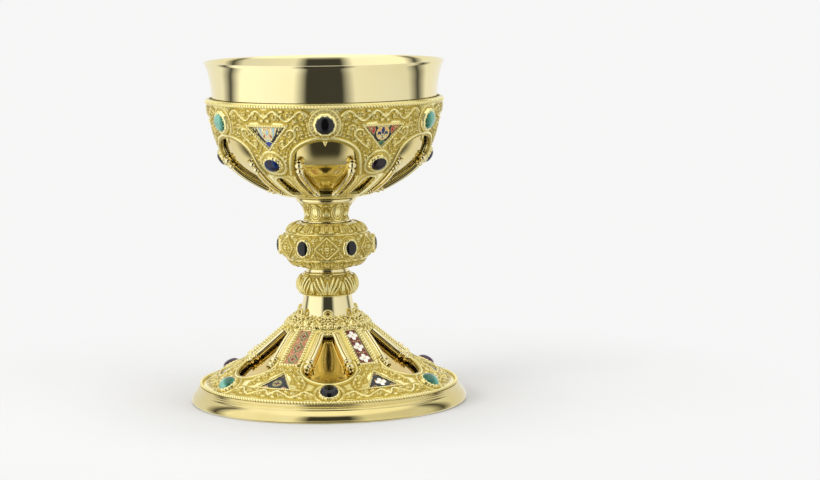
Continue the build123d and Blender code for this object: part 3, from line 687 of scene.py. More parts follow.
# The last colour given to the chased and rope gold is the painted shade of their hollows.
M_CHASED = gold("gold_chased", (1.0, 0.93, 0.47), (0.99, 0.88, 0.38), 0.15, 0.05, 0.12, painted_recess_shade=(0.50, 0.37, 0.06), metal=0.72)
M_ROPE = gold("gold_rope", (0.98, 0.88, 0.42), (0.95, 0.83, 0.34), 0.20, 0.04, 0.10, painted_recess_shade=(0.26, 0.17, 0.03), metal=0.75)
M_BRASS = gold("brass_turned", (0.78, 0.62, 0.33), (0.66, 0.50, 0.24), 0.28, 0.08, 0.25)
M_STEEL = gold("steel_turned", (0.56, 0.56, 0.57), (0.46, 0.46, 0.48), 0.32, 0.08, 0.25)
M_ONYX = stone("onyx", [(0.3, (0.0012, 0.0012, 0.0015)), (0.8, (0.003, 0.0028, 0.0032))], 160.0, coat=0.0, ior=1.50)
M_MALACHITE = stone("malachite", [(0.10, (0.014, 0.090, 0.055)), (0.40, (0.030, 0.165, 0.105)), (0.70, (0.07, 0.25, 0.17)), (0.95, (0.17, 0.38, 0.29))], 34.0, distortion=5.0, bands=True, coat=0.2)
M_AMETHYST = stone("amethyst", [(0.3, (0.014, 0.003, 0.016)), (0.8, (0.075, 0.016, 0.07))], 120.0, coat=0.0, ior=1.50)
M_GARNET = stone("garnet", [(0.3, (0.003, 0.0015, 0.003)), (0.85, (0.012, 0.003, 0.008))], 150.0, coat=0.0, ior=1.50)
M_SAPPHIRE = stone("sapphire", [(0.42, (0.001, 0.003, 0.016)), (0.60, (0.005, 0.017, 0.085)), (0.85, (0.03, 0.08, 0.26))], 210.0, coat=0.0, ior=1.50)

E = {k: enamel("enamel_" + k, c) for k, c in {
    "black": (0.012, 0.011, 0.013), "cream": (0.56, 0.47, 0.27), "sky": (0.26, 0.42, 0.50), "red": (0.34, 0.035, 0.03), "blue": (0.02, 0.04, 0.20),
    "green": (0.02, 0.11, 0.05), "orange": (0.62, 0.33, 0.11), "salmon": (0.40, 0.175, 0.095), "white": (0.80, 0.78, 0.76), "maroon": (0.12, 0.016, 0.014),
    "navy": (0.012, 0.02, 0.10)}.items()}
E_KEYS = list(E)
E_MATS = [E[k] for k in E_KEYS] + [M_ROPE]
WIRE = len(E_KEYS)


# =============================================================== drawing on turned surfaces
def shifted(points, distance):
    """The outline moved sideways by distance, to the left of its direction."""
    out = []
    for i, (r, z) in enumerate(points):
        a, b = points[max(i - 1, 0)], points[min(i + 1, len(points) - 1)]
        dr, dz = b[0] - a[0], b[1] - a[1]
        n = math.hypot(dr, dz)
        out.append((r - dz / n * distance, z + dr / n * distance))
    return out


def on(curve, deg, z, uv, h=0.0):
    """Points and normals for flat coordinates about (deg, z)."""
    uv = np.asarray(uv, float)
    s = curve.s_at(z) + uv[:, 1]
    th = math.radians(deg) + uv[:, 0] / curve.R(s)
    return curve.place(th, s, h), curve.normal(th, s)


def elevation(curve, pts, z0=None):
    """Front-elevation points (x, z) as flat coordinates about the middle line."""
    out = []
    for x, z in pts:
        s = float(curve.s_at(z))
        r = float(curve.R(s))
        out.append((r * math.asin(max(-1, min(1, x / r))), s - (float(curve.s_at(z0)) if z0 is not None else 0.0)))
    return np.array(out)


def circle(r, n=48, cu=0.0, cv=0.0, rv=None, start=0.0, stop=360.0, closed=True):
    a = np.radians(np.linspace(start, stop, n, endpoint=not closed))
    return np.stack([cu + r * np.cos(a), cv + (rv or r) * np.sin(a)], -1)


def mirror(pts):
    return np.asarray(pts) * np.array([-1.0, 1.0])


def around(fn, start=0.0, count=FOLDS):
    for k in range(count):
        fn(start + k * 360.0 / count, k)


def rope(bag, curve, deg, z, uv, radius, pitch, closed=True, h=None, step=None, sides=10, lobes=2, depth=0.42, mat=0):
    pts = resample(uv, step or pitch / 7.0, closed)
    p, n = on(curve, deg, z, pts, radius * 0.62 if h is None else h)
    tube(bag, p, n, radius, sides, closed, twist_pitch=pitch, lobes=lobes, depth=depth, mat=mat)


def wire(bag, curve, deg, z, uv, radius, closed=False, h=0.0, step=0.6, sides=6, mat=0):
    pts = resample(uv, step, closed)
    p, n = on(curve, deg, z, pts, h)
    tube(bag, p, n, radius, sides, closed, mat=mat)


def cell(bag, curve, deg, z, poly, h, mat, grid=1.1):
    """A conformal patch that fills a closed outline given in flat coordinates."""
    rim = resample(poly, grid * 0.8, True)
    keep = [rim[0]]
    for q in rim[1:]:
        if np.hypot(*(q - keep[-1])) > 1e-3:
            keep.append(q)
    rim = np.array(keep)
    lo, hi = rim.min(0), rim.max(0)
    gu, gv = np.meshgrid(np.arange(lo[0] + grid / 2, hi[0], grid), np.arange(lo[1] + grid / 2, hi[1], grid))
    gu, gv = gu.ravel(), gv.ravel()
    if len(gu):
        ok = inside(gu, gv, rim) & (dist_to(gu, gv, rim, True) > grid * 0.35)
        extra = np.stack([gu[ok], gv[ok]], -1)
    else:
        extra = np.zeros((0, 2))
    pts = np.concatenate([rim, extra])
    n = len(rim)
    res = geometry.delaunay_2d_cdt([Vector(q) for q in pts], [(i, (i + 1) % n) for i in range(n)], [], 1, 1e-6)
    vs = np.array([tuple(v) for v in res[0]])
    tris = []
    for f in res[2]:
        a, b, c = f[0], f[1], f[2]
        area = (vs[b][0] - vs[a][0]) * (vs[c][1] - vs[a][1]) - (vs[c][0] - vs[a][0]) * (vs[b][1] - vs[a][1])
        tris.append((a, b, c) if area > 0 else (a, c, b))
    if tris:
        p, _ = on(curve, deg, z, vs, h)
        bag.add(p, tris, mat)


def e(key):
    return E_KEYS.index(key)


# =============================================================== the cup
calyx_pts = [(17.0, 114.0), (22.4, 115.0), (28.0, 116.9), (35.4, 120.4), (42.0, 124.2), (47.7, 128.1),
             (52.2, 132.1), (55.6, 136.2), (57.8, 140.4), (60.4, 148.0), (62.9, 156.0), (64.6, 164.0), (65.3, 170.6)]
cup_top = [(62.3, 168.0), (62.5, 172.0), (63.0, 177.0), (64.1, 182.5), (65.3, 186.7), (LIP_R, HEIGHT - 0.35)]
cup_out = [(13.5, 117.2), (20.5, 117.5)] + shifted(calyx_pts, 2.4)[2:-2] + cup_top
cup_in = shifted(cup_out, 1.0)
cup_in[-1] = (cup_in[-1][0], HEIGHT - 0.35)
cup_line = outline(("line", [(0.0, 117.2), cup_out[0]]), ("curve", cup_out),
                   ("arc", [cup_out[-1], ((cup_out[-1][0] + cup_in[-1][0]) / 2, HEIGHT), cup_in[-1]]),
                   ("curve", cup_in[::-1]), ("line", [cup_in[0], (0.0, cup_in[0][1])]))
cup_ob = lathe("cup_shell", cup_line, [M_POLISH, M_CUP_PAINTED_SHADE], 320)
# painted shade: the outward faces of the lower cup wall, seen through the calyx windows, take the darker gold
for f in cup_ob.data.polygons:
    if f.center.z < 0.1672 and f.normal.z < 0.5 and (f.center.x * f.normal.x + f.center.y * f.normal.y) > 0:
        f.material_index = 1
put(cup_ob, "polished_gold", "cup")


# =============================================================== calyx relief
WINDOW = [(6.4, 116.6), (10.1, 120.4), (13.1, 124.2), (15.7, 128.1), (16.5, 132.1), (16.8, 136.5), (16.6, 140.2)]
WINDOW += [(16.6 * math.cos(math.radians(a)), 140.2 + 9.4 * math.sin(math.radians(a))) for a in range(10, 91, 8)]
WINDOW = WINDOW + [(-x, z) for x, z in reversed(WINDOW) if x > 0.2]
SLOT = [(3.5, 117.6), (3.8, 126.6), (3.2, 127.9), (1.9, 128.5), (0, 128.7), (-1.9, 128.5), (-3.2, 127.9), (-3.8, 126.6), (-3.5, 117.6)]
BIG_Z, SMALL_Z = 158.7, 136.8
TRI = [(10.9, 157.0), (-10.9, 157.0), (0.0, 145.4)]


def draw_calyx(g):
    g.kw, g.kh = 1.28, 1.6
    c = g.c
    z = g.Zg
    u0, v0 = g.uv(0.0)
    win = elevation(c, WINDOW)
    d = signed(u0, v0, win)
    g.hole = np.minimum(g.hole, d)
    us, vs_ = g.uv(30.0)
    slot = elevation(c, SLOT)
    dslot = signed(us, vs_, slot)
    g.hole = np.minimum(g.hole, dslot)
    ub, vb = g.uv(0.0, BIG_Z)
    rb = np.hypot(ub, vb)
    ul, vl = g.uv(30.0, SMALL_Z)
    rl = np.hypot(ul, vl)
    tri = elevation(c, TRI, 152.0)
    ut, vt = g.uv(30.0, 152.0)
    dt = signed(ut, vt, tri)
    # top vine frieze
    for x, up in ((12.9, 1.0), (20.73, -1.0), (28.57, 1.0)):
        g.spiral(0.0, 163.0, x - 0.4, -up * 0.55, 1.95, 1.0, 100 * up, up, 0.42, 0.55)
        g.leaf(0.0, 163.0, x + 1.4, -up * 2.2, -20 * up, 3.4, 1.7, 0.5)
        for dx, dy in ((3.9, 2.2), (2.9, 0.2), (-3.0, 1.9), (-2.4, 0.4)):
            g.dot(0.0, 163.0, 0.56, 0.52, x + dx, -up * dy)
        for dx, dy in ((4.2, 0.9), (-3.6, 0.7)):
            g.dent(0.0, 163.0, 0.55, 0.45, x + dx, -up * dy)
    g.leaf(30.0, 163.0, 0.0, 2.4, 270, 3.6, 2.2, 0.5)
    wave = [(9.0 + t, 2.6 * math.cos(math.pi * (9.0 + t - 12.9) / 7.83)) for t in np.linspace(0, 28.5, 90)]
    g.ridge(np.array(wave), 0.0, 163.0, 0.50, 0.58, lift=0.0)
    # field between the cabochon, the plaque and the arch
    g.spiral(0.0, 152.0, 19.0, 1.6, 2.9, 1.35, 200, -1, 0.46, 0.6, tail=[(23.5, -7.0), (20.5, -4.6), (17.4, -1.6), (16.0, 0.6)])
    g.spiral(0.0, 152.0, 14.4, 4.6, 2.1, 1.2, -40, 1, 0.42, 0.55, tail=[(18.0, 5.6), (17.2, 4.2)])
    g.spiral(0.0, 152.0, 23.3, -4.2, 1.9, 1.2, 120, -1, 0.42, 0.5)
    g.leaf(0.0, 152.0, 17.0, -1.2, 225, 3.4, 1.8, 0.5)
    g.leaf(0.0, 152.0, 21.6, -5.0, 20, 3.0, 1.6, 0.5)
    for x, y in [(12.2, 1.6), (13.6, 1.0), (12.8, 2.9), (22.2, 1.0), (11.6, 7.0), (16.9, 7.6), (20.4, 6.4), (25.6, -8.0), (26.4, -6.4), (15.6, -3.0), (19.6, -2.4), (24.0, -9.4)]:
        g.dot(0.0, 152.0, 0.62, 0.55, x, y)
    for x, y in [(18.6, 4.9), (21.9, -1.0), (14.6, -1.0), (26.0, -10.6), (10.6, 4.4), (22.6, 4.2)]:
        g.dot(0.0, 152.0, 0.42, 0.38, x, y)
    # archivolt: berries and small leaves between its two mouldings
    arch = (z > 130.8) & (rl > 8.2)
    top = elevation(c, [p for p in WINDOW if p[1] > 133.0])
    seg = resample(top, 0.5)
    t = np.gradient(seg, axis=0)
    t /= np.linalg.norm(t, axis=1)[:, None]
    nrm = np.stack([t[:, 1], -t[:, 0]], -1)
    mid = resample(seg + nrm * 4.35, 2.5)
    for i, (x, y) in enumerate(mid):
        if x < -0.3:
            continue
        if i % 2:
            uu, vv = g.uv(0.0)
            k = np.hypot(uu - x, vv - y)
            kk = (k < 0.68)
            g.h[kk] = np.maximum(g.h[kk], 0.55 * np.sqrt(1 - (k[kk] / 0.68) ** 2))
        else:
            ang = math.degrees(math.atan2(y - 165.0, x + 1e-6))
            g.ridge(np.array([(x - 0.8, y - 0.5), (x - 0.3, y + 0.35), (x + 0.4, y - 0.3), (x + 0.9, y + 0.5)]), 0.0, None, 0.3, 0.38, lift=0.0)
    # wipe the relief where the settings and plaques sit
    g.h = np.where(rb < 8.9, 0.0, g.h)
    g.h = np.where(rl < 8.2, 0.0, g.h)
    g.h = np.where(dt < 1.5, 0.0, g.h)
    g.h = np.where(z < 131.0, 0.0, g.h)
    g.h = np.where(z > 166.0, 0.0, g.h)
    g.h = np.where(d < 2.9, np.where(z > 130.8, 0.0, g.h), g.h)

    def hump(dist, at, w, h, where=None):
        q = np.abs(dist - at)
        k = q < w
        if where is not None:
            k &= where
        g.h[k] = np.maximum(g.h[k], h * np.sqrt(1 - (q[k] / w) ** 2))

    hump(d, 0.55, 0.6, 0.50, arch)
    hump(d, 2.0, 0.85, 0.95, arch)
    hump(d, 5.9, 0.38, 0.42, arch & (rb > 9.2) & (dt > 1.9) & (z < 160))
    # big setting: rays between the bezel and its rope
    phi = np.arctan2(vb, ub)
    k = (rb > 6.2) & (rb < 7.7)
    g.h[k] += 0.26 * (0.5 + 0.5 * np.cos(22 * phi[k])) * np.sin(math.pi * (rb[k] - 6.2) / 1.5)
    hump(rb, 9.15, 0.30, 0.30, d > 2.8)
    # lobe round the small stone
    kl = z > 122
    hump(rl, 7.75, 0.48, 0.55, kl & (d > 0.2))
    hump(rl, 6.75, 0.30, 0.28, kl)
    a2 = np.arctan2(vl, ul)
    k = (rl > 5.1) & (rl < 6.5)
    g.h[k] += 0.20 * (0.5 + 0.5 * np.cos(18 * a2[k])) * np.sin(math.pi * (rl[k] - 5.1) / 1.4)
    g.h = np.where((rl < 8.05) & (rl > 7.2) & (z > 122) & (d > 0.2), np.maximum(g.h, 0.25), g.h)
    # plaque seat
    g.h = np.where(dt < -0.05, -0.6, g.h)
    # strips between the windows and the slots
    low = (z < 131.0) & (z > 116.2) & (rl > 8.2)
    hump(d, 0.55, 0.5, 0.30, low)
    hump(dslot, 0.55, 0.5, 0.30, low)
    # plain mouldings under and over the lip rope
    hump(z, 166.3, 0.26, 0.30)
    hump(z, 169.05, 0.42, 0.30)
    hump(z, 115.6, 0.55, 0.35)


s_seam = float(CALYX.s_at(151.3))
low = Relief(CALYX, float(CALYX.s_at(114.05)), s_seam, 0.43)
draw_calyx(low)
put(low.build("calyx_openwork", M_CHASED), "chased_gold", "calyx_shell")
high = Relief(CALYX, s_seam, float(CALYX.s_at(169.5)), 0.40, cols=low.cols)

draw_calyx(high)
put(high.build("calyx_frieze", M_CHASED, wall=1.3), "chased_gold")


# =============================================================== bowl dressing
LIP_Z = 167.85
bag = Bag()
n_lip = 1890
a = np.arange(n_lip) * 2 * math.pi / n_lip
s_lip = np.full(n_lip, float(CALYX.s_at(LIP_Z)))
tube(bag, CALYX.place(a, s_lip, 0.35), CALYX.normal(a, s_lip), 0.90, 8, True, twist_pitch=1.75, lobes=1, depth=0.5)
put(bag.build("calyx_lip_rope_wire", [M_ROPE]), "chased_gold", "calyx_lip_rope")

bag = Bag()
tri_uv = elevation(CALYX, TRI, 152.0)


def grow(poly, d):
    """Polygon with its sides moved outwards by d."""
    p = np.asarray(poly, float)
    area = 0.5 * sum(p[i][0] * p[(i + 1) % len(p)][1] - p[(i + 1) % len(p)][0] * p[i][1] for i in range(len(p)))
    sg = 1.0 if area > 0 else -1.0
    out = []
    for i in range(len(p)):
        a, b, c = p[i - 1], p[i], p[(i + 1) % len(p)]
        e0, e1 = b - a, c - b
        n0 = np.array([e0[1], -e0[0]]) / np.linalg.norm(e0) * sg
        n1 = np.array([e1[1], -e1[0]]) / np.linalg.norm(e1) * sg
        k = 1 + n0.dot(n1)
        out.append(b + (n0 + n1) / max(k, 0.35) * d)
    return np.array(out)


def bowl_triangle_rope(deg, k):
    rope(bag, CALYX, deg, 152.0, grow(tri_uv, 0.75), 0.66, 1.5, True, h=0.36, lobes=1, depth=0.5)


around(bowl_triangle_rope, 30.0)
put(bag.build("calyx_triangle_rope_wires", [M_ROPE]), "chased_gold", "calyx_triangle_ropes")

# rope round each large setting, and beads round each small one
bag = Bag()
around(lambda deg, k: rope(bag, CALYX, deg, BIG_Z, circle(8.25, 80), 0.60, 1.25, True, h=0.25, lobes=1, depth=0.42))
around(lambda deg, k: rope(bag, CALYX, deg, SMALL_Z, circle(7.2, 70), 0.42, 1.0, True, h=0.12, lobes=1, depth=0.42), 30.0)
put(bag.build("calyx_setting_ropes", [M_ROPE]), "chased_gold")


# ------------------------------------------------- settings and stones
def setting(bag, curve, deg, z, rx, ry, h0, rise, lobes, claw):
    """Scalloped bezel: a collar with a lobed outer wall and a turned-in, notched edge."""
    seg = max(96, lobes * 12)
    a = np.arange(seg) * 2 * math.pi / seg
    wob = 0.5 + 0.5 * np.cos(lobes * a)
    rows = []
    # (offset from the stone's edge, height, how much the lobes show)
    for off, h, amt in [(1.15, -0.6, 0.55), (1.10, h0 + 0.15, 0.55), (0.95, h0 + rise * 0.35, 0.50), (0.80, h0 + rise * 0.62, 0.42),
                        (0.55, h0 + rise * 0.86, 0.30), (0.18, h0 + rise * 1.02, 0.0), (-0.35, h0 + rise * 1.04, -0.45), (-0.62, h0 + rise * 0.90, -0.5), (-0.60, h0 + rise * 0.4, -0.3)]:
        r = off + amt * wob * (0.55 if amt > 0 else claw)
        lift = h + (0.22 * wob if 0.1 < off < 0.7 or off < 0 else 0)
        uv = np.stack([(rx + r) * np.cos(a), (ry + r) * np.sin(a)], -1)
        s = curve.s_at(z)
        base, n0 = on(curve, deg, z, [[0, 0]])
        n0 = n0[0]
        th = math.radians(deg)
        side = np.array([math.cos(th), math.sin(th), 0.0])
        up = np.cross(n0, side)
        if h < 0:
            p, _ = on(curve, deg, z, uv, -0.3)
        else:
            p = base[0] + MM * (uv[:, :1] * side - uv[:, 1:] * up * -1.0 + np.asarray(lift).reshape(-1, 1) * n0)
        rows.append(p)
    # painted shade at the foot of the bezel and under its turned-in edge
    painted_shade = np.concatenate([np.full(seg, 0.55 * q) for q in (1, 0.9, 0.25, 0.1, 0, 0, 0, 0.9, 1.2)][:len(rows)])
    bag.add(np.concatenate(rows), grid_faces(len(rows), seg, True), 0, painted_shade)


def plane_at(curve, deg, z):
    base, n0 = on(curve, deg, z, [[0, 0]])
    th = math.radians(deg)
    side = np.array([math.cos(th), math.sin(th), 0.0])
    return base[0], side, np.cross(n0[0], side), n0[0]


def cabochon(bag, curve, deg, z, rx, ry, h0, dome, mat=0):
    """High-domed stone with a short straight girdle."""
    o, side, up, n0 = plane_at(curve, deg, z)
    seg, rows = 56, []
    a = np.arange(seg) * 2 * math.pi / seg
    prof = [(1.0, -0.2)] + [(math.cos(math.radians(q)) ** 0.85, math.sin(math.radians(q)) ** 0.92) for q in (0, 8, 16, 24, 32, 40, 48, 56, 64, 72, 79, 85)] + [(0.001, 1.0)]
    for k, hh in prof:
        rows.append(o + MM * (np.cos(a)[:, None] * rx * k * side + np.sin(a)[:, None] * ry * k * up + (h0 + dome * hh) * n0))
    bag.add(np.concatenate(rows), grid_faces(len(rows), seg, True), mat)


def claws(bag, curve, deg, z, rx, ry, h0, count, size, lean=0.35):
    o, side, up, n0 = plane_at(curve, deg, z)
    for i in range(count):
        t = 2 * math.pi * (i + 0.5) / count
        out = math.cos(t) * side + math.sin(t) * up
        c = o + MM * ((rx - 0.15) * math.cos(t) * side + (ry - 0.15) * math.sin(t) * up + h0 * n0)
        blob(bag, c, n0 * (1 - lean) - out * lean, size * 0.9, size * 0.7, size * 1.25, side=np.cross(n0, out), rings=5, seg=8)


bag, small_bag = Bag(), Bag()
around(lambda deg, k: (setting(bag, CALYX, deg, BIG_Z, 5.3, 5.3, 0.3, 1.7, 10, 0.6), claws(bag, CALYX, deg, BIG_Z, 5.35, 5.35, 1.9, 10, 0.62)))
put(bag.build("calyx_large_settings", [M_CHASED]), "chased_gold", "calyx_large_bezels")
around(lambda deg, k: (setting(small_bag, CALYX, deg, SMALL_Z, 4.85, 4.15, 0.2, 1.4, 14, 0.25)), 30.0)
put(small_bag.build("calyx_small_settings", [M_SATIN]), "chased_gold", "calyx_small_bezels")


def stones(name, mat, slot_name, node, curve, z, angles, rx, ry, h0, dome):
    b = Bag()
    for deg in angles:
        cabochon(b, curve, deg, z, rx, ry, h0, dome)
    put(b.build(name, [mat]), slot_name, node)


stones("calyx_onyx", M_ONYX, "onyx", "calyx_onyx_stones", CALYX, BIG_Z, (0, 180), 5.35, 5.35, 0.9, 3.4)
stones("calyx_malachite", M_MALACHITE, "malachite", "calyx_malachite_stones", CALYX, BIG_Z, (60, -60), 5.35, 5.35, 0.9, 3.4)
stones("calyx_amethyst", M_AMETHYST, "amethyst", "calyx_amethyst_stones", CALYX, BIG_Z, (120, -120), 5.35, 5.35, 0.9, 3.4)
stones("calyx_garnet", M_GARNET, "garnet", "calyx_garnet_stones", CALYX, SMALL_Z, (30, 150, 270), 4.95, 4.25, 0.6, 2.9)
stones("calyx_sapphire", M_SAPPHIRE, "sapphire", "calyx_sapphire_stones", CALYX, SMALL_Z, (-30, 90, 210), 4.95, 4.25, 0.6, 2.9)


# ------------------------------------------------- colonnettes of the bowl windows
def along(points, t):
    p = np.asarray(points, float)
    s = np.concatenate([[0], np.cumsum(np.linalg.norm(np.diff(p, axis=0), axis=1))])
    return np.stack([np.interp(t, s, p[:, k]) for k in range(p.shape[1])], -1), s[-1]


def baluster(bag, curve, deg, route, h, profile, sides=20):
    """Turned colonnette along a route (x, z) in elevation; profile is (length from the start, radius)."""
    uv = elevation(curve, route, route[0][1])
    fine = resample(uv, 0.3)
    _, total = along(fine, [0.0])
    prof = np.array([(l if l >= 0 else total + l, r) for l, r in profile], float)
    t = np.unique(np.concatenate([np.linspace(prof[0, 0], prof[-1, 0], int(total / 0.9)), prof[:, 0], np.arange(prof[0, 0], prof[-1, 0], 0.22)[:0]]))
    rad = np.interp(t, prof[:, 0], prof[:, 1])
    q, _ = along(fine, np.clip(t, 0, total))
    p, n = on(curve, deg, route[0][1], q, h)
    tube(bag, p, n, rad, sides, False)


def bead_run(l0, specs):
    """Profile points for a run of beads and rings: (length, radius) each."""
    out, l = [], l0
    for length, r in specs:
        if r < 0:
            for q in np.linspace(0, 1, 9):
                out.append((l + length * q, max(0.9, -r * math.sqrt(max(0.0, 1 - (2 * q - 1) ** 2)) * 1.0 + 0.0)))
        else:
            out += [(l + 0.02, r), (l + length - 0.02, r)]
        l += length
    return out, l


def calyx_columns(deg, k):
    for sgn in (1, -1):
        route = [(4.2 * sgn, 117.7), (6.9 * sgn, 121.0), (9.7 * sgn, 124.8), (12.3 * sgn, 129.0), (13.8 * sgn, 132.4), (14.2 * sgn, 134.8), (14.3 * sgn, 138.4)]
        uv = elevation(CALYX, route, route[0][1])
        fine = resample(uv, 0.3)
        _, total = along(fine, [0.0])
        base, l1 = bead_run(0.0, [(2.3, -1.6), (0.3, 1.1), (2.4, -1.85), (0.4, 1.5)])
        cap_l = 8.6
        shaft = [(l1 + 0.05, 1.5), (total - cap_l - 0.05, 1.75)]
        cap, l2 = bead_run(total - cap_l, [(0.5, 1.9), (3.4, -2.25), (0.35, 1.3), (3.7, -2.45), (0.6, 1.8)])
        for target, prof in ((col_base, base), (col_shaft, shaft), (col_cap, cap)):
            baluster(target, CALYX, deg, route, -0.15, prof)


col_base, col_shaft, col_cap = Bag(), Bag(), Bag()
around(calyx_columns)
put(col_base.build("calyx_colonnette_bases", [M_POLISH]), "polished_gold", "calyx_column_bases")
put(col_shaft.build("calyx_colonnette_shafts", [M_POLISH]), "polished_gold", "calyx_columns")
put(col_cap.build("calyx_colonnette_capitals", [M_POLISH]), "polished_gold", "calyx_capitals")

# small drop at the crown of each window
bag = Bag()


def pendant(deg, k):
    for z, rx, rz, h in ((149.2, 1.3, 0.9, 0.2), (148.3, 0.9, 0.75, 0.1), (147.5, 0.45, 0.7, 0.0)):
        p, n = on(CALYX, deg, z, [[0, 0]], h)
        th = math.radians(deg)
        blob(bag, p[0], n[0], rx, rz, 0.7, side=(math.cos(th), math.sin(th), 0), rings=6, seg=12)


around(pendant)
put(bag.build("calyx_window_drops", [M_SATIN]), "chased_gold")


# ------------------------------------------------- enamel plaques of the bowl
def drop(cu, cv, length, width, ang, n=20):
    """Teardrop outline, point at the start, along ang."""
    t = np.linspace(0, math.pi, n)
    x = length * (1 - np.cos(t)) / 2
    y = width / 2 * np.sin(t) * np.sin(t / 2) ** 0.7
    pts = np.concatenate([np.stack([x, y], -1), np.stack([x[::-1], -y[::-1]], -1)[1:-1]])
    c, s = math.cos(math.radians(ang)), math.sin(math.radians(ang))
    return np.stack([cu + pts[:, 0] * c - pts[:, 1] * s, cv + pts[:, 0] * s + pts[:, 1] * c], -1)


def lens(cu, cv, rx, ry, ang=0.0, n=28):
    p = circle(rx, n, 0, 0, ry)
    c, s = math.cos(math.radians(ang)), math.sin(math.radians(ang))
    return np.stack([cu + p[:, 0] * c - p[:, 1] * s, cv + p[:, 0] * s + p[:, 1] * c], -1)


def inlaid(bag, curve, deg, z, poly, key, level, wall=0.13, closed=True):
    """One enamel cell with its gold wall."""
    cell(bag, curve, deg, z, poly, -0.34 + 0.035 * level, e(key), 0.9)
    if wall:
        wire(bag, curve, deg, z, poly, wall, True, -0.34 + 0.035 * level, 0.45, 5, WIRE)


bag = Bag()


def bowl_plaque(deg, k):
    z = 152.0
    t = tri_uv
    v_top, v_tip = t[0][1], t[2][1]
    w = t[0][0]
    pale = k % 2 == 1
    slope = (v_top - v_tip) / w

    def edge(v):
        return (v - v_tip) / slope

    def put_(poly, key, level, wall=0.11):
        inlaid(bag, CALYX, deg, z, poly, key, level, wall)

    inlaid(bag, CALYX, deg, z, grow(t, 0.15), "black", 0, 0)
    if pale:
        # cream ground between dark borders, leaves in sky blue, two red drops, blue tip
        ground = np.array([(6.7, v_top), (4.4, v_top - 4.6), (1.6, v_tip + 4.0), (-1.6, v_tip + 4.0), (-4.4, v_top - 4.6), (-6.7, v_top)])
        put_(ground, "cream", 1)
        for sg in (1, -1):
            put_(np.array([(sg * 9.6, v_top - 0.2), (sg * 8.3, v_top - 0.2), (sg * 8.7, v_top - 1.5)]), "green", 1)
            put_(np.array([(sg * 7.9, v_top - 0.2), (sg * 7.0, v_top - 0.2), (sg * 7.2, v_top - 2.2), (sg * 7.9, v_top - 1.9)]), "cream", 1)
            put_(np.array([(sg * 6.5, v_top - 2.6), (sg * 5.9, v_top - 3.9), (sg * 6.3, v_top - 4.2), (sg * 7.0, v_top - 3.2)]), "cream", 1)
            leaf = np.array([(5.2, -0.1), (3.9, -0.1), (3.3, -2.0), (3.5, -3.8), (2.6, -6.0), (3.2, -6.2), (4.4, -4.3), (4.6, -2.4)])
            put_(np.stack([sg * leaf[:, 0], v_top + leaf[:, 1]], -1), "sky", 2)
            put_(drop(sg * 1.5, v_top - 3.9, 2.7, 1.35, 270 + sg * 22), "red", 2)
            put_(drop(sg * 0.9, v_top - 0.6, 1.8, 1.1, 270 + sg * 40), "orange", 2)
            put_(lens(sg * 2.6, v_top - 1.6, 0.5, 0.7), "white", 2)
        put_(lens(0, v_top - 3.2, 0.75, 1.7), "sky", 2)
        put_(lens(0, v_tip + 4.5, 1.2, 0.6), "sky", 2)
        tip = np.array([(0, v_tip + 0.5), (edge(v_tip + 3.2) - 0.25, v_tip + 3.2), (0, v_tip + 3.9), (-edge(v_tip + 3.2) + 0.25, v_tip + 3.2)])
        put_(tip, "blue", 2)
    else:
        # round orange field with a dark fleur, red corners, green tip
        cv = v_top - 4.1
        put_(lens(0, cv, 4.05, 4.0), "cream", 1)
        put_(lens(0, cv, 3.65, 3.6), "orange", 2)
        for sg in (1, -1):
            corner = np.array([(10.1, -0.15), (5.6, -0.15), (4.9, -1.7), (5.0, -3.4), (5.4, -4.8)])
            put_(np.stack([sg * corner[:, 0], v_top + corner[:, 1]], -1), "red", 1)
            put_(np.stack([sg * np.array([8.6, 6.8, 6.3, 6.9]), v_top + np.array([-0.7, -0.6, -1.8, -2.4])], -1), "maroon", 2)
            put_(np.stack([sg * np.array([7.9, 7.2, 7.0]), v_top + np.array([-1.0, -0.9, -1.6])], -1), "green", 3)
            put_(np.stack([sg * np.array([2.0, 3.9, 3.4]), v_top + np.array([-0.15, -0.15, -1.2])], -1), "cream", 1)
            # side petals of the fleur curl outwards and down
            petal = np.array([(0.30, -1.3), (0.9, 0.5), (2.0, 1.15), (3.1, 0.6), (3.35, -0.8), (2.6, -1.35), (2.2, -0.5), (1.7, -0.9), (1.0, -1.9)])
            put_(np.stack([sg * petal[:, 0], cv + petal[:, 1]], -1), "navy", 3)
            put_(lens(sg * 1.5, cv - 2.2, 0.75, 1.0, sg * 25), "cream", 3)
        put_(lens(0, cv + 1.15, 1.15, 2.4), "navy", 3)
        put_(lens(0, cv - 1.5, 1.5, 0.55), "navy", 4)
        put_(lens(0, cv - 2.5, 0.6, 1.0), "navy", 3)
        tip = np.array([(0, v_tip + 0.4), (edge(v_tip + 2.9) - 0.25, v_tip + 2.9), (0, v_tip + 3.5), (-edge(v_tip + 2.9) + 0.25, v_tip + 2.9)])
        put_(tip, "green", 2)


around(bowl_plaque, 30.0)
put(bag.build("calyx_plaques", E_MATS), "enamel", "calyx_triangle_enamels")


# =============================================================== collar, neck, knops, stem
def ringed(r0, z0, z1, bulge):
    return outline(("line", [(r0 - 4, z0), (r0, z0)]), ("arc", [(r0, z0), (r0 + bulge, (z0 + z1) / 2), (r0, z1)]), ("line", [(r0, z1), (r0 - 4, z1)]))


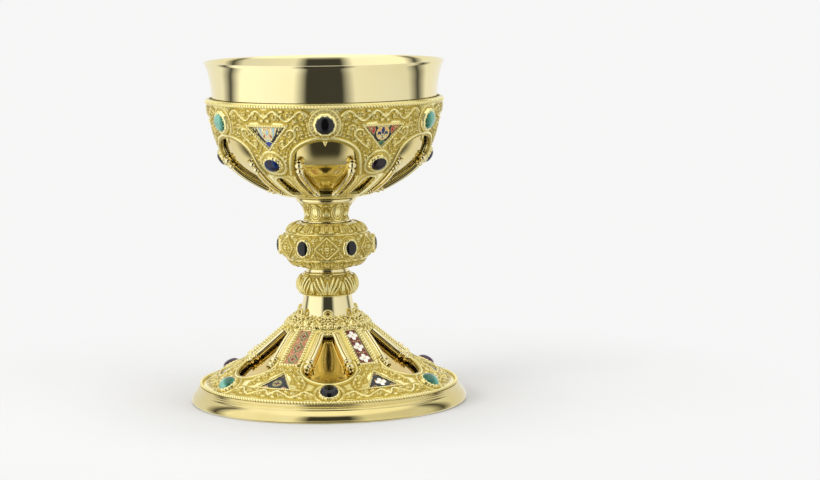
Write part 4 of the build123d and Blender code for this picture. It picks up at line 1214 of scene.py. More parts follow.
put(lathe("collar_moulding", ringed(16.6, 112.0, 114.0, 0.95), M_POLISH, 192), "polished_gold", "collar_ring")
put(lathe("neck_moulding", ringed(12.9, 100.0, 101.2, 0.62), M_POLISH, 160), "polished_gold", "neck_ring")
spacer = outline(("line", [(5.0, 72.3), (12.2, 72.3)]), ("arc", [(12.2, 72.3), (11.4, 73.6), (12.2, 74.6)]), ("arc", [(12.2, 74.6), (13.1, 74.9), (13.0, 75.4)]), ("line", [(13.0, 75.4), (5.0, 75.4)]))
put(lathe("waist_moulding", spacer, M_POLISH, 160), "polished_gold", "spacer_ring")
cone = outline(("curve", [(15.8, 47.2), (15.0, 50.4), (14.45, 53.4), (13.9, 56.4), (13.35, 59.5)]), ("line", [(13.35, 59.5), (11.8, 59.5)]), ("line", [(11.8, 59.5), (13.6, 47.2)]))
put(lathe("stem_sleeve", cone, M_POLISH, 256), "polished_gold", "stem_cone")


def band(g, at, w, h, base=None):
    q = np.abs(g.S - at)
    k = q < w
    g.h[k] = np.maximum(g.h[k], h * np.sqrt(1 - (q[k] / w) ** 2))


# neck: oval cartouches with a palm leaf between them
g = Relief(NECK, 0.0, NECK.length, 0.24)
g.kw, g.kh = 1.3, 1.75
u, v = g.uv(30.0, 106.2)
oval = np.hypot(u / 3.1, v / 4.3)
g.h = np.where(oval < 1.25, 0.0, g.h)
for at, w, h in ((1.12, 0.11, 0.42), (0.80, 0.10, 0.30)):
    q = np.abs(oval - at)
    g.h = np.where(q < w, np.maximum(g.h, h * np.sqrt(np.clip(1 - (q / w) ** 2, 0, 1))), g.h)
k = oval < 0.66
g.h[k] = np.maximum(g.h[k], 0.40 * np.sqrt(np.clip(1 - (oval[k] / 0.66) ** 2, 0, 1)) - 0.16 * np.exp(-(u[k] / 0.25) ** 2))
for ang, length in ((90, 4.6), (62, 4.0), (38, 3.2), (118, 4.0), (142, 3.2)):
    g.leaf(0.0, 103.4, 0.0, 0.0, ang, length, 1.25, 0.42)
g.leaf(0.0, 110.4, 0.0, 0.6, 270, 2.6, 1.2, 0.4)
for x, y in ((2.0, 5.2), (1.2, 6.6), (3.4, -2.0)):
    g.dot(0.0, 103.4, 0.36, 0.32, x, y)
band(g, 0.45, 0.35, 0.35)
band(g, NECK.length - 0.5, 0.4, 0.35)
put(g.build("neck_chased", M_CHASED, wall=0.6, shade_depth=0.3), "chased_gold", "neck")

# upper dome of the knop: two rows of leaves
g = Relief(KNOP_TOP, 0.0, KNOP_TOP.length, 0.26)
g.kw, g.kh = 1.3, 1.75
for deg in (0.0, 30.0):
    g.leaf(deg, 95.7, 0.0, 0.0, 90, 6.8, 2.2, 0.66, 0.35)
    for pts, w in (([(1.5, 0.0), (1.7, 2.6), (1.4, 5.8)], 0.48), ([(2.7, 0.2), (2.9, 2.4), (2.5, 4.8)], 0.46)):
        g.ridge(np.array(pts), deg, 95.7, w, 0.48, lift=0.0)
        g.ridge(mirror(pts), deg, 95.7, w, 0.48, lift=0.0)
g.leaf(15.0, 95.9, 0.0, 0.0, 90, 5.8, 2.6, 0.6, 0.35)
g.dot(15.0, 96.2, 0.6, 0.5, 2.2, 0.0)
g.dot(15.0, 96.2, 0.6, 0.5, -2.2, 0.0)
band(g, 0.5, 0.42, 0.50)
band(g, KNOP_TOP.length - 0.6, 0.5, 0.35)
put(g.build("knop_upper_leaves", M_CHASED, wall=0.6, shade_depth=0.35), "chased_gold", "knop_upper_dome")

# middle of the knop: lozenges with a small rosette, and leaves round the stones
g = Relief(KNOP_BAND, 0.0, KNOP_BAND.length, 0.26)
g.kw, g.kh = 1.3, 1.75
for size, w, h in ((1.0, 0.34, 0.50), (0.80, 0.20, 0.28), (0.45, 0.22, 0.34)):
    loz = np.array([(0, -6.3), (6.6, 0), (0, 6.3), (-6.6, 0)]) * size
    g.ridge(loz, 0.0, 87.4, w, h, True, lift=0.0)
for a4 in (45, 135, 225, 315):
    c4, s4 = math.cos(math.radians(a4)), math.sin(math.radians(a4))
    g.dot(0.0, 87.4, 0.62, 0.55, 0.85 * c4, 0.85 * s4)
    g.leaf(0.0, 87.4, 2.1 * c4, 2.1 * s4, a4, 1.9, 0.9, 0.36)
for a4 in (0, 90, 180, 270):
    c4, s4 = math.cos(math.radians(a4)), math.sin(math.radians(a4))
    g.leaf(0.0, 87.4, 3.1 * c4, 3.1 * s4, a4, 1.8, 0.9, 0.36)
u, v = g.uv(30.0, 87.6)
ov = np.hypot(u / 3.5, v / 4.25)
for at, w, h in ((1.62, 0.085, 0.40),):
    q = np.abs(ov - at)
    k = q < w
    g.h[k] = np.maximum(g.h[k], h * np.sqrt(1 - (q[k] / w) ** 2))
for sy in (1, -1):
    g.spiral(15.4, 87.4, 0.2, sy * 4.6, 1.55, 1.15, -90 * sy, sy, 0.28, 0.38)
    g.leaf(15.4, 87.4, 1.4, sy * 3.6, 90 * sy + 20, 2.8, 1.2, 0.4)
    g.leaf(15.4, 87.4, -1.6, sy * 4.2, 90 * sy - 10, 2.4, 1.0, 0.36)
    g.dot(15.4, 87.4, 0.42, 0.4, 0.0, sy * 2.0)
    g.dot(15.4, 87.4, 0.32, 0.3, 2.6, sy * 5.9)
    g.dot(30.0, 87.4, 0.36, 0.34, -2.2, sy * 6.6)
    g.dot(30.0, 87.4, 0.36, 0.34, 0.0, sy * 6.9)
g.h = np.where(ov < 1.30, 0.0, g.h)
band(g, 0.40, 0.34, 0.42)
band(g, KNOP_BAND.length - 0.40, 0.34, 0.42)
put(g.build("knop_band_chased", M_CHASED, wall=0.6, shade_depth=0.35), "chased_gold", "knop_band")

# lower dome of the knop
g = Relief(KNOP_LOW, 0.0, KNOP_LOW.length, 0.26)
g.kw, g.kh = 1.3, 1.75
for deg in (0.0, 15.0, 30.0):
    g.leaf(deg, 79.4, 0.0, 0.0, 270, 5.2, 3.4, 0.55, 0.35)
for deg in (7.5, 22.5):
    g.leaf(deg, 79.0, 0.0, 0.2, 270, 3.8, 1.5, 0.42, 0.3)
    g.dot(deg, 79.6, 0.45, 0.4)
band(g, KNOP_LOW.length - 0.55, 0.36, 0.40)
band(g, 0.5, 0.4, 0.30)
put(g.build("knop_lower_leaves", M_CHASED, wall=0.6, shade_depth=0.35), "chased_gold", "knop_lower_dome")

bag = Bag()
around(lambda deg, k: setting(bag, KNOP_BAND, deg, 87.6, 3.5, 4.3, 0.0, 0.85, 10, 0.6), 30.0)
around(lambda deg, k: claws(bag, KNOP_BAND, deg, 87.6, 3.55, 4.35, 0.85, 10, 0.40), 30.0)
put(bag.build("knop_settings", [M_SATIN]), "chased_gold", "knop_bezels")
stones("knop_onyx", M_ONYX, "onyx", "knop_stones", KNOP_BAND, 87.6, range(30, 390, 60), 3.55, 4.4, 0.2, 1.9)

# lower knop: fans of flutes with leaves between
g = Relief(LOWER_KNOP, 0.0, LOWER_KNOP.length, 0.25)
g.kw, g.kh = 1.3, 1.75
g.leaf(0.0, 60.6, 0.0, 0.0, 90, 9.6, 1.7, 0.55, 0.2)
for pts, w in (([(0.9, -4.7), (1.5, -1.6), (2.7, 1.6), (3.5, 4.3)], 0.62), ([(2.1, -4.9), (3.2, -2.0), (4.8, 0.9), (5.8, 3.8)], 0.60), ([(3.5, -5.0), (5.0, -2.8), (6.6, -0.6), (7.4, 2.0)], 0.50)):
    g.ridge(np.array(pts), 0.0, 66.0, w, 0.52, lift=0.0)
    g.ridge(mirror(pts), 0.0, 66.0, w, 0.52, lift=0.0)
g.leaf(30.0, 60.6, 0.0, 0.0, 90, 8.6, 2.9, 0.58, 0.3)
for x, y in ((0.0, 9.4), (-1.6, 8.8), (1.6, 8.8)):
    g.dot(30.0, 60.6, 0.5, 0.45, x, y)
g.leaf(0.0, 71.4, 1.6, 0.4, 290, 2.4, 1.1, 0.4)
g.leaf(0.0, 71.4, -1.6, 0.4, 250, 2.4, 1.1, 0.4)
band(g, 0.55, 0.42, 0.40)
band(g, LOWER_KNOP.length - 0.7, 0.42, 0.35)
put(g.build("lower_knop_chased", M_CHASED, wall=0.6, shade_depth=0.35), "chased_gold", "lower_knop")


# =============================================================== foot
foot_pts = [(18.6, 47.2), (21.2, 44.4), (26.1, 40.0), (30.8, 36.0), (35.4, 32.0), (40.1, 28.0), (45.1, 24.2),
            (50.4, 20.9), (56.0, 18.0), (61.6, 15.0), (66.2, 12.3), (69.6, 10.4), (71.0, 9.8)]
liner_out = [(r, z) for r, z in shifted(foot_pts, -2.7) if z > 9.9]
liner_out = [(16.0, 46.6)] + liner_out[1:]
ro, zo = liner_out[-1]
liner_out.append((ro + (zo - 9.8) * 1.8, 9.8))
liner_in = [(r, z) for r, z in shifted(foot_pts, -3.7) if z > 10.4]
liner_in = [(15.4, 45.6)] + liner_in[1:]
ri, zi = liner_in[-1]
liner_in.append((ri + (zi - 9.8) * 1.8, 9.8))
line = outline(("line", [(5.0, 46.0), (5.0, 47.2), (16.0, 47.2), liner_out[0]]), ("curve", liner_out), ("line", [liner_out[-1], liner_in[-1]]),
               ("curve", liner_in[::-1]), ("line", [liner_in[0], (13.0, 46.0), (5.0, 46.0)]))
put(lathe("foot_inner_cone", line[::-1], M_SHADE, 256), "polished_gold", "foot_liner")

base = outline(("line", [(64.6, 9.8), (72.2, 9.8), (72.4, 9.1), (72.4, 8.5), (72.9, 8.2), (73.1, 7.7)]), ("arc", [(73.1, 7.7), (73.9, 7.5), (74.0, 6.7)]),
               ("line", [(74.0, 6.7), (74.2, 6.4)]), ("arc", [(74.2, 6.4), (76.0, 4.8), (76.7, 2.4)]), ("line", [(76.7, 2.4), (76.9, 1.7), (76.9, 1.1), (76.3, 0.4), (75.6, 0.0)]),
               ("line", [(75.6, 0.0), (68.0, 0.0), (68.0, 1.2), (64.6, 7.8), (64.6, 9.8)]))
# the base ring takes the darker gold, painted in for its dark reflections
put(lathe("base_moulding", base[::-1], M_RING_PAINTED_SHADE, 360), "polished_gold", "base_ring")

FWIN = [(5.2, 39.8), (6.8, 36.0), (9.8, 30.0), (11.4, 27.6), (13.0, 25.4), (13.7, 23.6)]
FWIN += [(13.7 * math.cos(math.radians(q)), 23.6 - 5.3 * math.sin(math.radians(q))) for q in range(10, 91, 8)]
FWIN = FWIN + [(-x, z) for x, z in reversed(FWIN) if x > 0.2]
FSTONE_Z = 13.9
FPANEL = [(3.6, 42.0), (4.7, 25.9), (-4.7, 25.9), (-3.6, 42.0)]
FTRI = [(9.7, 15.6), (-9.7, 15.6), (0.0, 21.8)]


def draw_foot(g):
    g.kw, g.kh = 1.28, 1.6
    c, z = g.c, g.Zg
    u0, v0 = g.uv(0.0)
    d = signed(u0, v0, elevation(c, FWIN))
    g.hole = np.minimum(g.hole, d)
    ub, vb = g.uv(0.0, FSTONE_Z)
    rb = np.hypot(ub, vb)
    up_, vp_ = g.uv(30.0, 33.0)
    dp = signed(up_, vp_, elevation(c, FPANEL, 33.0))
    ut, vt = g.uv(30.0, 18.0)
    dt = signed(ut, vt, elevation(c, FTRI, 18.0))
    # vine scrolls along the rim
    for x, hand in ((12.8, 1), (20.7, -1), (28.6, 1)):
        sg = float(hand)
        g.spiral(0.0, 13.3, x - 0.4, -0.5 * sg, 1.9, 1.0, 100 * sg, hand, 0.42, 0.55)
        g.leaf(0.0, 13.3, x + 1.4, -sg * 1.9, -18 * sg, 3.4, 1.6, 0.48)
        g.dot(0.0, 13.3, 0.56, 0.50, x + 3.8, -sg * 2.1)
        g.dot(0.0, 13.3, 0.52, 0.46, x + 2.9, -sg * 0.1)
        g.dot(0.0, 13.3, 0.52, 0.46, x - 3.0, -sg * 1.7)
        for dx, dy in ((4.2, 0.9), (-3.5, 0.6)):
            g.dent(0.0, 13.3, 0.55, 0.45, x + dx, -sg * dy)
    g.leaf(30.0, 13.3, 0.0, 2.2, 270, 3.4, 2.0, 0.48)
    wave = np.array([(8.6 + t, 2.3 * math.cos(math.pi * (8.6 + t - 12.8) / 7.9)) for t in np.linspace(0, 29, 90)])
    g.ridge(wave, 0.0, 13.3, 0.48, 0.55, lift=0.0)
    # spandrels between window, plaque and stone
    g.spiral(17.5, 19.4, 0.6, 0.6, 2.5, 1.3, 210, -1, 0.44, 0.62, tail=[(-4.2, -5.0), (-3.6, -2.6), (-2.6, -0.8)])
    g.spiral(19.0, 22.6, 0.2, 1.2, 2.0, 1.25, -60, 1, 0.40, 0.55, tail=[(-3.2, -3.2), (-1.0, -2.8)])
    g.spiral(25.5, 23.6, 0.6, -0.4, 1.5, 1.1, 120, -1, 0.36, 0.5)
    g.leaf(17.5, 19.4, -2.0, -3.4, 15, 3.2, 1.6, 0.5)
    g.leaf(17.5, 19.4, 2.8, 2.4, 40, 3.0, 1.5, 0.48)
    g.leaf(17.5, 19.4, 0.4, 4.4, 120, 2.4, 1.2, 0.42)
    for x, y in ((3.4, -0.8), (2.9, -2.2), (-2.9, 2.3), (4.6, 4.6), (6.2, 5.4), (-3.8, -6.6), (-1.6, -5.8), (7.4, 6.8)):
        g.dot(17.5, 19.4, 0.52, 0.46, x, y)
    for x, y in ((0.0, 1.6), (1.0, 2.9), (-1.0, 2.9), (0.0, 3.6)):
        g.dot(30.0, 21.4, 0.50, 0.45, x, y)
    g.h = np.where(rb < 8.6, 0.0, g.h)
    g.h = np.where(dp < 4.2, np.where(z > 24.4, 0.0, g.h), g.h)
    g.h = np.where(dt < 1.3, 0.0, g.h)
    g.h = np.where(z > 26.6, 0.0, g.h)
    g.h = np.where((d < 2.7), 0.0, g.h)
    g.h = np.where(z < 11.4, 0.0, g.h)

    def hump(dist, at, w, h, where=None):
        q = np.abs(dist - at)
        k = q < w
        if where is not None:
            k &= where
        g.h[k] = np.maximum(g.h[k], h * np.sqrt(1 - (q[k] / w) ** 2))

    hump(d, 0.45, 0.5, 0.40, z < 28)
    hump(d, 1.65, 0.75, 0.95, z < 27.2)
    hump(d, 0.5, 0.5, 0.35, z >= 27)
    k = (rb > 5.9) & (rb < 7.2)
    phi = np.arctan2(vb, ub)
    g.h[k] += 0.22 * (0.5 + 0.5 * np.cos(20 * phi[k])) * np.sin(math.pi * (rb[k] - 5.9) / 1.3)
    hump(rb, 7.75, 0.55, 0.70, d > 0.3)
    hump(rb, 8.75, 0.26, 0.26, d > 2.5)
    # ledge under the long plaques
    s_ledge = float(c.s_at(24.9))
    hump(g.S, s_ledge, 0.42, 0.55, (np.abs(up_) < 7.4) & (z < 27))
    hump(g.S, float(c.s_at(11.55)), 0.28, 0.32)
    g.h = np.where(dp < -0.05, -0.6, g.h)
    g.h = np.where(dt < -0.05, -0.6, g.h)


g = Relief(FOOT, 0.0, float(FOOT.s_at(26.6)), 0.45)
draw_foot(g)
put(g.build("foot_openwork", M_CHASED), "chased_gold", "foot_shell")
g = Relief(FOOT, float(FOOT.s_at(26.6)), FOOT.length, 0.40)
draw_foot(g)
put(g.build("foot_ribs", M_CHASED), "chased_gold")

bag = Bag()
n_rim = 1800
a = np.arange(n_rim) * 2 * math.pi / n_rim
rim_p = np.stack([71.35 * np.sin(a), -71.35 * np.cos(a), np.full(n_rim, 10.65)], -1) * MM
rim_n = np.stack([0.4 * np.sin(a), -0.4 * np.cos(a), np.full(n_rim, 0.9)], -1)
tube(bag, rim_p, rim_n, 0.85, 8, True, twist_pitch=1.75, lobes=1, depth=0.5)
put(bag.build("foot_rim_rope_wire", [M_ROPE]), "chased_gold", "foot_rim_rope")

bag = Bag()
panel_uv = elevation(FOOT, FPANEL, 33.0)


def panel_ropes(deg, k):
    q = grow(panel_uv, 0.98)
    # along both long sides and across both ends
    for pts in ((q[0], q[1]), (q[3], q[2]), (q[1], q[2]), (q[0], q[3])):
        rope(bag, FOOT, deg, 33.0, np.array(pts), 1.0, 1.75, False, h=0.45, lobes=1, depth=0.5)


around(panel_ropes, 30.0)
put(bag.build("foot_panel_rope_wires", [M_ROPE]), "chased_gold", "foot_panel_ropes")
bag = Bag()
ftri_uv = elevation(FOOT, FTRI, 18.0)
around(lambda deg, k: rope(bag, FOOT, deg, 18.0, grow(ftri_uv, 0.6), 0.50, 1.15, True, h=0.28, lobes=1, depth=0.42), 30.0)
put(bag.build("foot_triangle_rope_wires", [M_ROPE]), "chased_gold", "foot_triangle_ropes")

bag = Bag()
around(lambda deg, k: (setting(bag, FOOT, deg, FSTONE_Z, 5.0, 5.0, 0.3, 1.5, 14, 0.2)))
put(bag.build("foot_settings", [M_SATIN]), "chased_gold", "foot_bezels")
stones("foot_onyx", M_ONYX, "onyx", "foot_onyx_stones", FOOT, FSTONE_Z, (0, 180), 5.15, 5.15, 0.9, 3.5)
stones("foot_malachite", M_MALACHITE, "malachite", "foot_malachite_stones", FOOT, FSTONE_Z, (60, -60), 5.15, 5.15, 0.9, 3.5)
stones("foot_amethyst", M_AMETHYST, "amethyst", "foot_amethyst_stones", FOOT, FSTONE_Z, (120, -120), 5.15, 5.15, 0.9, 3.5)

col_shaft, col_cap = Bag(), Bag()


def foot_columns(deg, k):
    for sg in (1, -1):
        route = [(12.1 * sg, 23.4), (11.2 * sg, 25.6), (9.9 * sg, 27.6), (8.3 * sg, 30.2), (5.4 * sg, 36.0), (3.7 * sg, 39.8)]
        uv = elevation(FOOT, route, route[0][1])
        _, total = along(resample(uv, 0.3), [0.0])
        cap, l1 = bead_run(0.0, [(0.6, 1.9), (3.1, -2.45), (0.4, 1.6), (3.3, -2.75), (0.7, 2.2)])
        shaft = [(l1 + 0.05, 1.8), (total, 1.6)]
        baluster(col_cap, FOOT, deg, route, 0.1, cap)
        baluster(col_shaft, FOOT, deg, route, 0.1, shaft)


around(foot_columns)
put(col_shaft.build("foot_colonnette_shafts", [M_POLISH]), "polished_gold", "foot_columns")
put(col_cap.build("foot_colonnette_capitals", [M_POLISH]), "polished_gold", "foot_capitals")

# trefoil of beads at the head of each foot window
bag = Bag()


def trefoil(deg, k):
    th = math.radians(deg)
    for x, z, r in ((0.0, 40.2, 1.25), (3.3, 40.6, 1.45), (-3.3, 40.6, 1.45), (1.75, 41.3, 1.1), (-1.75, 41.3, 1.1)):
        p, n = on(FOOT, deg, z, [[x, 0]], 0.1)
        blob(bag, p[0], n[0], r, r, r * 0.85, side=(math.cos(th), math.sin(th), 0), rings=6, seg=12)


around(trefoil)
put(bag.build("foot_window_trefoils", [M_SATIN]), "chased_gold")


# ------------------------------------------------- foot enamels
def petals(bag, curve, deg, z, cu, cv, r, key, level, turn=0.0):
    for q in range(4):
        ang = math.radians(90 * q + turn)
        inlaid(bag, curve, deg, z, lens(cu + 0.56 * r * math.cos(ang), cv + 0.56 * r * math.sin(ang), 0.52 * r, 0.42 * r, 90 * q + turn, 20), key, level, 0.07)
    inlaid(bag, curve, deg, z, lens(cu, cv, 0.16 * r, 0.16 * r, 0, 12), "maroon", level + 1, 0.05)


def cross(cu, cv, r, w0, w1, turn=0.0):
    pts = []
    for q in range(4):
        a0 = math.radians(90 * q + turn)
        c, s = math.cos(a0), math.sin(a0)
        for x, y in ((w0, -w0), (r, -w1), (r, w1)):
            pts.append((cu + x * c - y * s, cv + x * s + y * c))
    return np.array(pts)


bag = Bag()


def foot_plaque(deg, k):
    z = 33.0
    p = panel_uv
    top, bot = p[0][1], p[1][1]
    inlaid(bag, FOOT, deg, z, grow(p, 0.15), "salmon" if k % 2 else "maroon", 0, 0)

    def half(v):
        t = (v - bot) / (top - bot)
        return p[1][0] + (p[0][0] - p[1][0]) * t

    span = top - bot
    if k % 2:
        for i in range(3):
            cv = bot + span * (i + 0.5) / 3
            w, hh = half(cv) * 0.80, span / 6.2
            loz = np.array([(0, cv - hh), (w, cv), (0, cv + hh), (-w, cv)])
            inlaid(bag, FOOT, deg, z, loz, "black", 1, 0.10)
            inlaid(bag, FOOT, deg, z, (loz - [0, cv]) * 0.88 + [0, cv], "green", 2, 0.05)
            inlaid(bag, FOOT, deg, z, (loz - [0, cv]) * 0.66 + [0, cv], "salmon", 3, 0.05)
            inlaid(bag, FOOT, deg, z, cross(0, cv, 1.35, 0.30, 0.72), "maroon", 4, 0.06)
            for sg in (1, -1):
                vv = bot + span * i / 3
                if i:
                    inlaid(bag, FOOT, deg, z, lens(sg * half(vv) * 0.72, vv, 0.42, 0.6), "orange", 1, 0.05)
        for sg in (1, -1):
            inlaid(bag, FOOT, deg, z, np.array([(sg * half(bot), bot), (sg * half(bot) * 0.35, bot), (sg * half(bot), bot + 1.6)]), "maroon", 1, 0.06)
            inlaid(bag, FOOT, deg, z, np.array([(sg * half(top), top), (sg * half(top) * 0.35, top), (sg * half(top), top - 1.6)]), "maroon", 1, 0.06)
    else:
        for sg in (1, -1):
            strip = np.array([(sg * half(bot), bot), (sg * half(top), top), (sg * (half(top) - 0.85), top), (sg * (half(bot) - 0.95), bot)])
            inlaid(bag, FOOT, deg, z, strip, "black", 1, 0.07)
        for i in range(3):
            cv = bot + span * (i + 0.5) / 3
            petals(bag, FOOT, deg, z, 0, cv, 2.95, "white", 2)
        for i in range(1, 3):
            cv = bot + span * i / 3
            for cu, key in ((0.0, "black"), (1.25, "orange"), (-1.25, "orange"), (2.4, "red"), (-2.4, "red")):
                sq = 0.48
                inlaid(bag, FOOT, deg, z, np.array([(cu - sq, cv), (cu, cv - sq), (cu + sq, cv), (cu, cv + sq)]), key, 2, 0.05)
        for i in range(3):
            cv = bot + span * (i + 0.5) / 3
            for cu in (2.5, -2.5):
                for dv in (1.35, -1.35):
                    inlaid(bag, FOOT, deg, z, lens(cu * 0.92, cv + dv, 0.36, 0.36, 0, 12), "salmon", 2, 0.05)


around(foot_plaque, 30.0)
put(bag.build("foot_long_plaques", E_MATS), "enamel", "foot_panel_enamels")
bag = Bag()


def foot_small_plaque(deg, k):
    z = 18.0
    t = ftri_uv
    v0, v1 = t[0][1], t[2][1]
    cv = v0 + (v1 - v0) * 0.36
    w = t[0][0]
    inlaid(bag, FOOT, deg, z, grow(t, 0.12), "black", 0, 0)
    if k % 2:
        for sg in (1, -1):
            inlaid(bag, FOOT, deg, z, np.array([(sg * (w - 1.0), v0 + 0.25), (sg * 4.0, v0 + 0.25), (sg * 4.4, v0 + 1.5), (sg * 5.2, v0 + 2.3)]), "salmon", 1, 0.10)
            inlaid(bag, FOOT, deg, z, np.array([(sg * 6.2, v0 + 0.5), (sg * 4.9, v0 + 0.5), (sg * 5.2, v0 + 1.4)]), "white", 2, 0.05)
            inlaid(bag, FOOT, deg, z, np.array([(sg * 1.2, v1 - 2.2), (sg * 0.35, v1 - 1.2), (sg * 0.6, v1 - 2.9)]), "maroon", 1, 0.05)
        inlaid(bag, FOOT, deg, z, lens(0, cv, 2.75, 2.5), "green", 1, 0.10)
        inlaid(bag, FOOT, deg, z, lens(0, cv, 2.15, 1.95), "salmon", 2, 0.06)
        inlaid(bag, FOOT, deg, z, cross(0, cv, 1.9, 0.34, 0.85), "black", 3, 0.06)
    else:
        for sg in (1, -1):
            inlaid(bag, FOOT, deg, z, np.array([(sg * (w - 1.0), v0 + 0.25), (sg * 4.6, v0 + 0.25), (sg * 4.2, v0 + 1.6), (sg * 5.2, v0 + 2.4)]), "maroon", 1, 0.10)
            inlaid(bag, FOOT, deg, z, lens(sg * 5.3, v0 + 0.8, 0.9, 0.45, sg * -10), "salmon", 2, 0.06)
            inlaid(bag, FOOT, deg, z, lens(sg * 2.6, cv + 1.6, 0.7, 0.5, sg * -45), "orange", 1, 0.05)
        petals(bag, FOOT, deg, z, 0, cv, 3.1, "white", 2)
        inlaid(bag, FOOT, deg, z, np.array([(1.3, v1 - 2.2), (0, v1 - 0.4), (-1.3, v1 - 2.2)]), "maroon", 1, 0.08)


around(foot_small_plaque, 30.0)
put(bag.build("foot_small_plaques", E_MATS), "enamel", "foot_triangle_enamels")

# ------------------------------------------------- crown of finials over the foot
CROWN = Turned([(24.4, 42.4), (23.0, 44.0), (21.0, 46.0), (18.6, 47.6), (17.2, 48.8), (16.6, 50.6), (16.4, 53.0)])
crown = Bag()
cr_line = outline(("curve", [(23.4, 43.3), (22.7, 44.4), (21.1, 46.1), (19.3, 47.4), (17.4, 48.2), (15.9, 48.5)]), ("line", [(15.9, 48.5), (15.9, 47.3), (18.6, 47.25)]))
th = np.arange(240) * 2 * math.pi / 240
pc = np.array(cr_line)
wob = np.cos(6 * th)
rad = pc[:, 0:1] + np.clip((pc[:, 0:1] - 20.0) / 4.0, 0, 1) * (0.7 * wob[None, :] - 0.4 + 0.25 * np.cos(18 * th)[None, :])
zz = pc[:, 1:2] - np.clip((pc[:, 0:1] - 20.0) / 4.0, 0, 1) * (0.6 * wob[None, :] - 0.3)
crown.add((np.stack([rad * np.sin(th), -rad * np.cos(th), zz + 0 * rad], -1) * MM).reshape(-1, 3), grid_faces(len(pc), 240, True))


def finial(deg, k):
    c = CROWN

    def w(pts, r, h=0.55, closed=False):
        wire(crown, c, deg, 47.0, np.array(pts, float), r, closed, h, 0.35, 8)

    def b(x, y, rx, ry, rz, h=0.5, ang=0.0):
        p, n = on(c, deg, 47.0, [[x, y]], h)
        t = on(c, deg, 47.0, [[x + 0.2 * math.cos(math.radians(ang)), y + 0.2 * math.sin(math.radians(ang))]], h)[0][0] - p[0]
        blob(crown, p[0], n[0], rx, ry, rz, side=t, rings=8, seg=16)

    # ring at the top, curled leaves to the sides, a fleur below
    w(circle(2.05, 30, 0, 4.3), 0.86, 1.0, True)
    b(0, 1.3, 1.15, 1.3, 1.1, 0.85)
    b(0, -1.0, 1.2, 0.85, 0.9, 0.75)
    for sg in (1, -1):
        w([(sg * 0.9, 0.2), (sg * 2.2, 1.5), (sg * 3.8, 2.2), (sg * 5.0, 1.4), (sg * 4.9, 0.1), (sg * 3.9, -0.3), (sg * 3.5, 0.6)], 0.70, 0.8)
        w([(sg * 0.9, -1.9), (sg * 2.3, -2.9), (sg * 4.0, -3.1), (sg * 5.2, -2.2), (sg * 6.2, -1.0)], 0.62, 0.6)
        b(sg * 2.6, -1.1, 1.5, 0.85, 0.8, 0.7, 325 if sg > 0 else 215)
        b(sg * 1.7, -4.3, 1.25, 1.15, 0.95, 0.5)
        b(sg * 4.4, -4.6, 1.25, 1.0, 0.85, 0.45)
    b(0, -3.1, 0.9, 1.5, 0.9, 0.6)


around(finial)


def between(deg, k):
    for sg in (1, -1):
        wire(crown, CROWN, deg, 47.0, np.array([(sg * 0.6, -1.6), (sg * 2.0, -0.6), (sg * 2.9, 0.9), (sg * 2.2, 2.1), (sg * 1.1, 1.5)]), 0.58, False, 0.6, 0.35, 8)
    for x, y, r in ((0, 3.0, 0.85), (0, 0.7, 1.0), (0, -2.2, 1.25), (0, -4.4, 0.95)):
        p, n = on(CROWN, deg, 47.0, [[x, y]], 0.55)
        blob(crown, p[0], n[0], r, r, r * 0.9, rings=8, seg=16)


around(between, 30.0)


def leaf_tips(deg, k):
    for a in (-20.0, -10.0, 0.0, 10.0, 20.0, 30.0):
        p, n = on(CROWN, deg + a, 47.0, [[0.0, -4.75]], 0.35)
        blob(crown, p[0], n[0], 1.55, 1.15, 1.0, rings=8, seg=16)
    for x, y, rx, ry, ang in ((4.9, -3.0, 1.3, 0.8, 60), (7.6, -2.9, 1.25, 0.8, 110), (6.6, 1.1, 1.2, 0.75, 70), (8.6, -0.7, 1.1, 0.7, 20), (6.2, -4.0, 1.2, 0.9, 90)):
        for sg in (1, -1):
            q = math.radians(ang if sg > 0 else 180 - ang)
            p, n = on(CROWN, deg, 47.0, [[sg * x, y]], 0.35)
            t = on(CROWN, deg, 47.0, [[sg * x + 0.2 * math.cos(q), y + 0.2 * math.sin(q)]], 0.35)[0][0] - p[0]
            blob(crown, p[0], n[0], rx, ry, 0.8, side=t, rings=7, seg=14)


around(leaf_tips)
put(crown.build("foot_crown_finials", [M_SATIN]), "chased_gold", "foot_crown")


# =============================================================== hidden clamp under the foot
bag = Bag()
seg = 96
ang = np.arange(seg) * 2 * math.pi / seg
rows = []
for zq in np.arange(33.0, 48.0, 0.156):
    ph = 2 * math.pi * (zq - 33.0) / 1.25
    depth = 0.34 * (0.5 + 0.5 * np.cos(ang - ph))
    end = min(1.0, (zq - 33.0) / 0.8 + 0.35)
    rows.append(np.stack([(4.0 - depth) * np.sin(ang) * end ** 0.3, -(4.0 - depth) * np.cos(ang) * end ** 0.3, np.full(seg, zq)], -1) * MM)
rows.insert(0, np.stack([0.001 * np.sin(ang), -0.001 * np.cos(ang), np.full(seg, 33.0)], -1) * MM)
bag.add(np.concatenate(rows), grid_faces(len(rows), seg, True))
rows = [np.stack([rq * np.sin(ang), -rq * np.cos(ang), np.full(seg, zq)], -1) * MM for rq, zq in ((3.8, 48.0), (3.8, 113.2), (3.2, 114.0), (0.001, 114.0))]
bag.add(np.concatenate(rows), grid_faces(len(rows), seg, True))
put(bag.build("tie_rod_threaded", [M_STEEL]), "steel", "tie_rod")

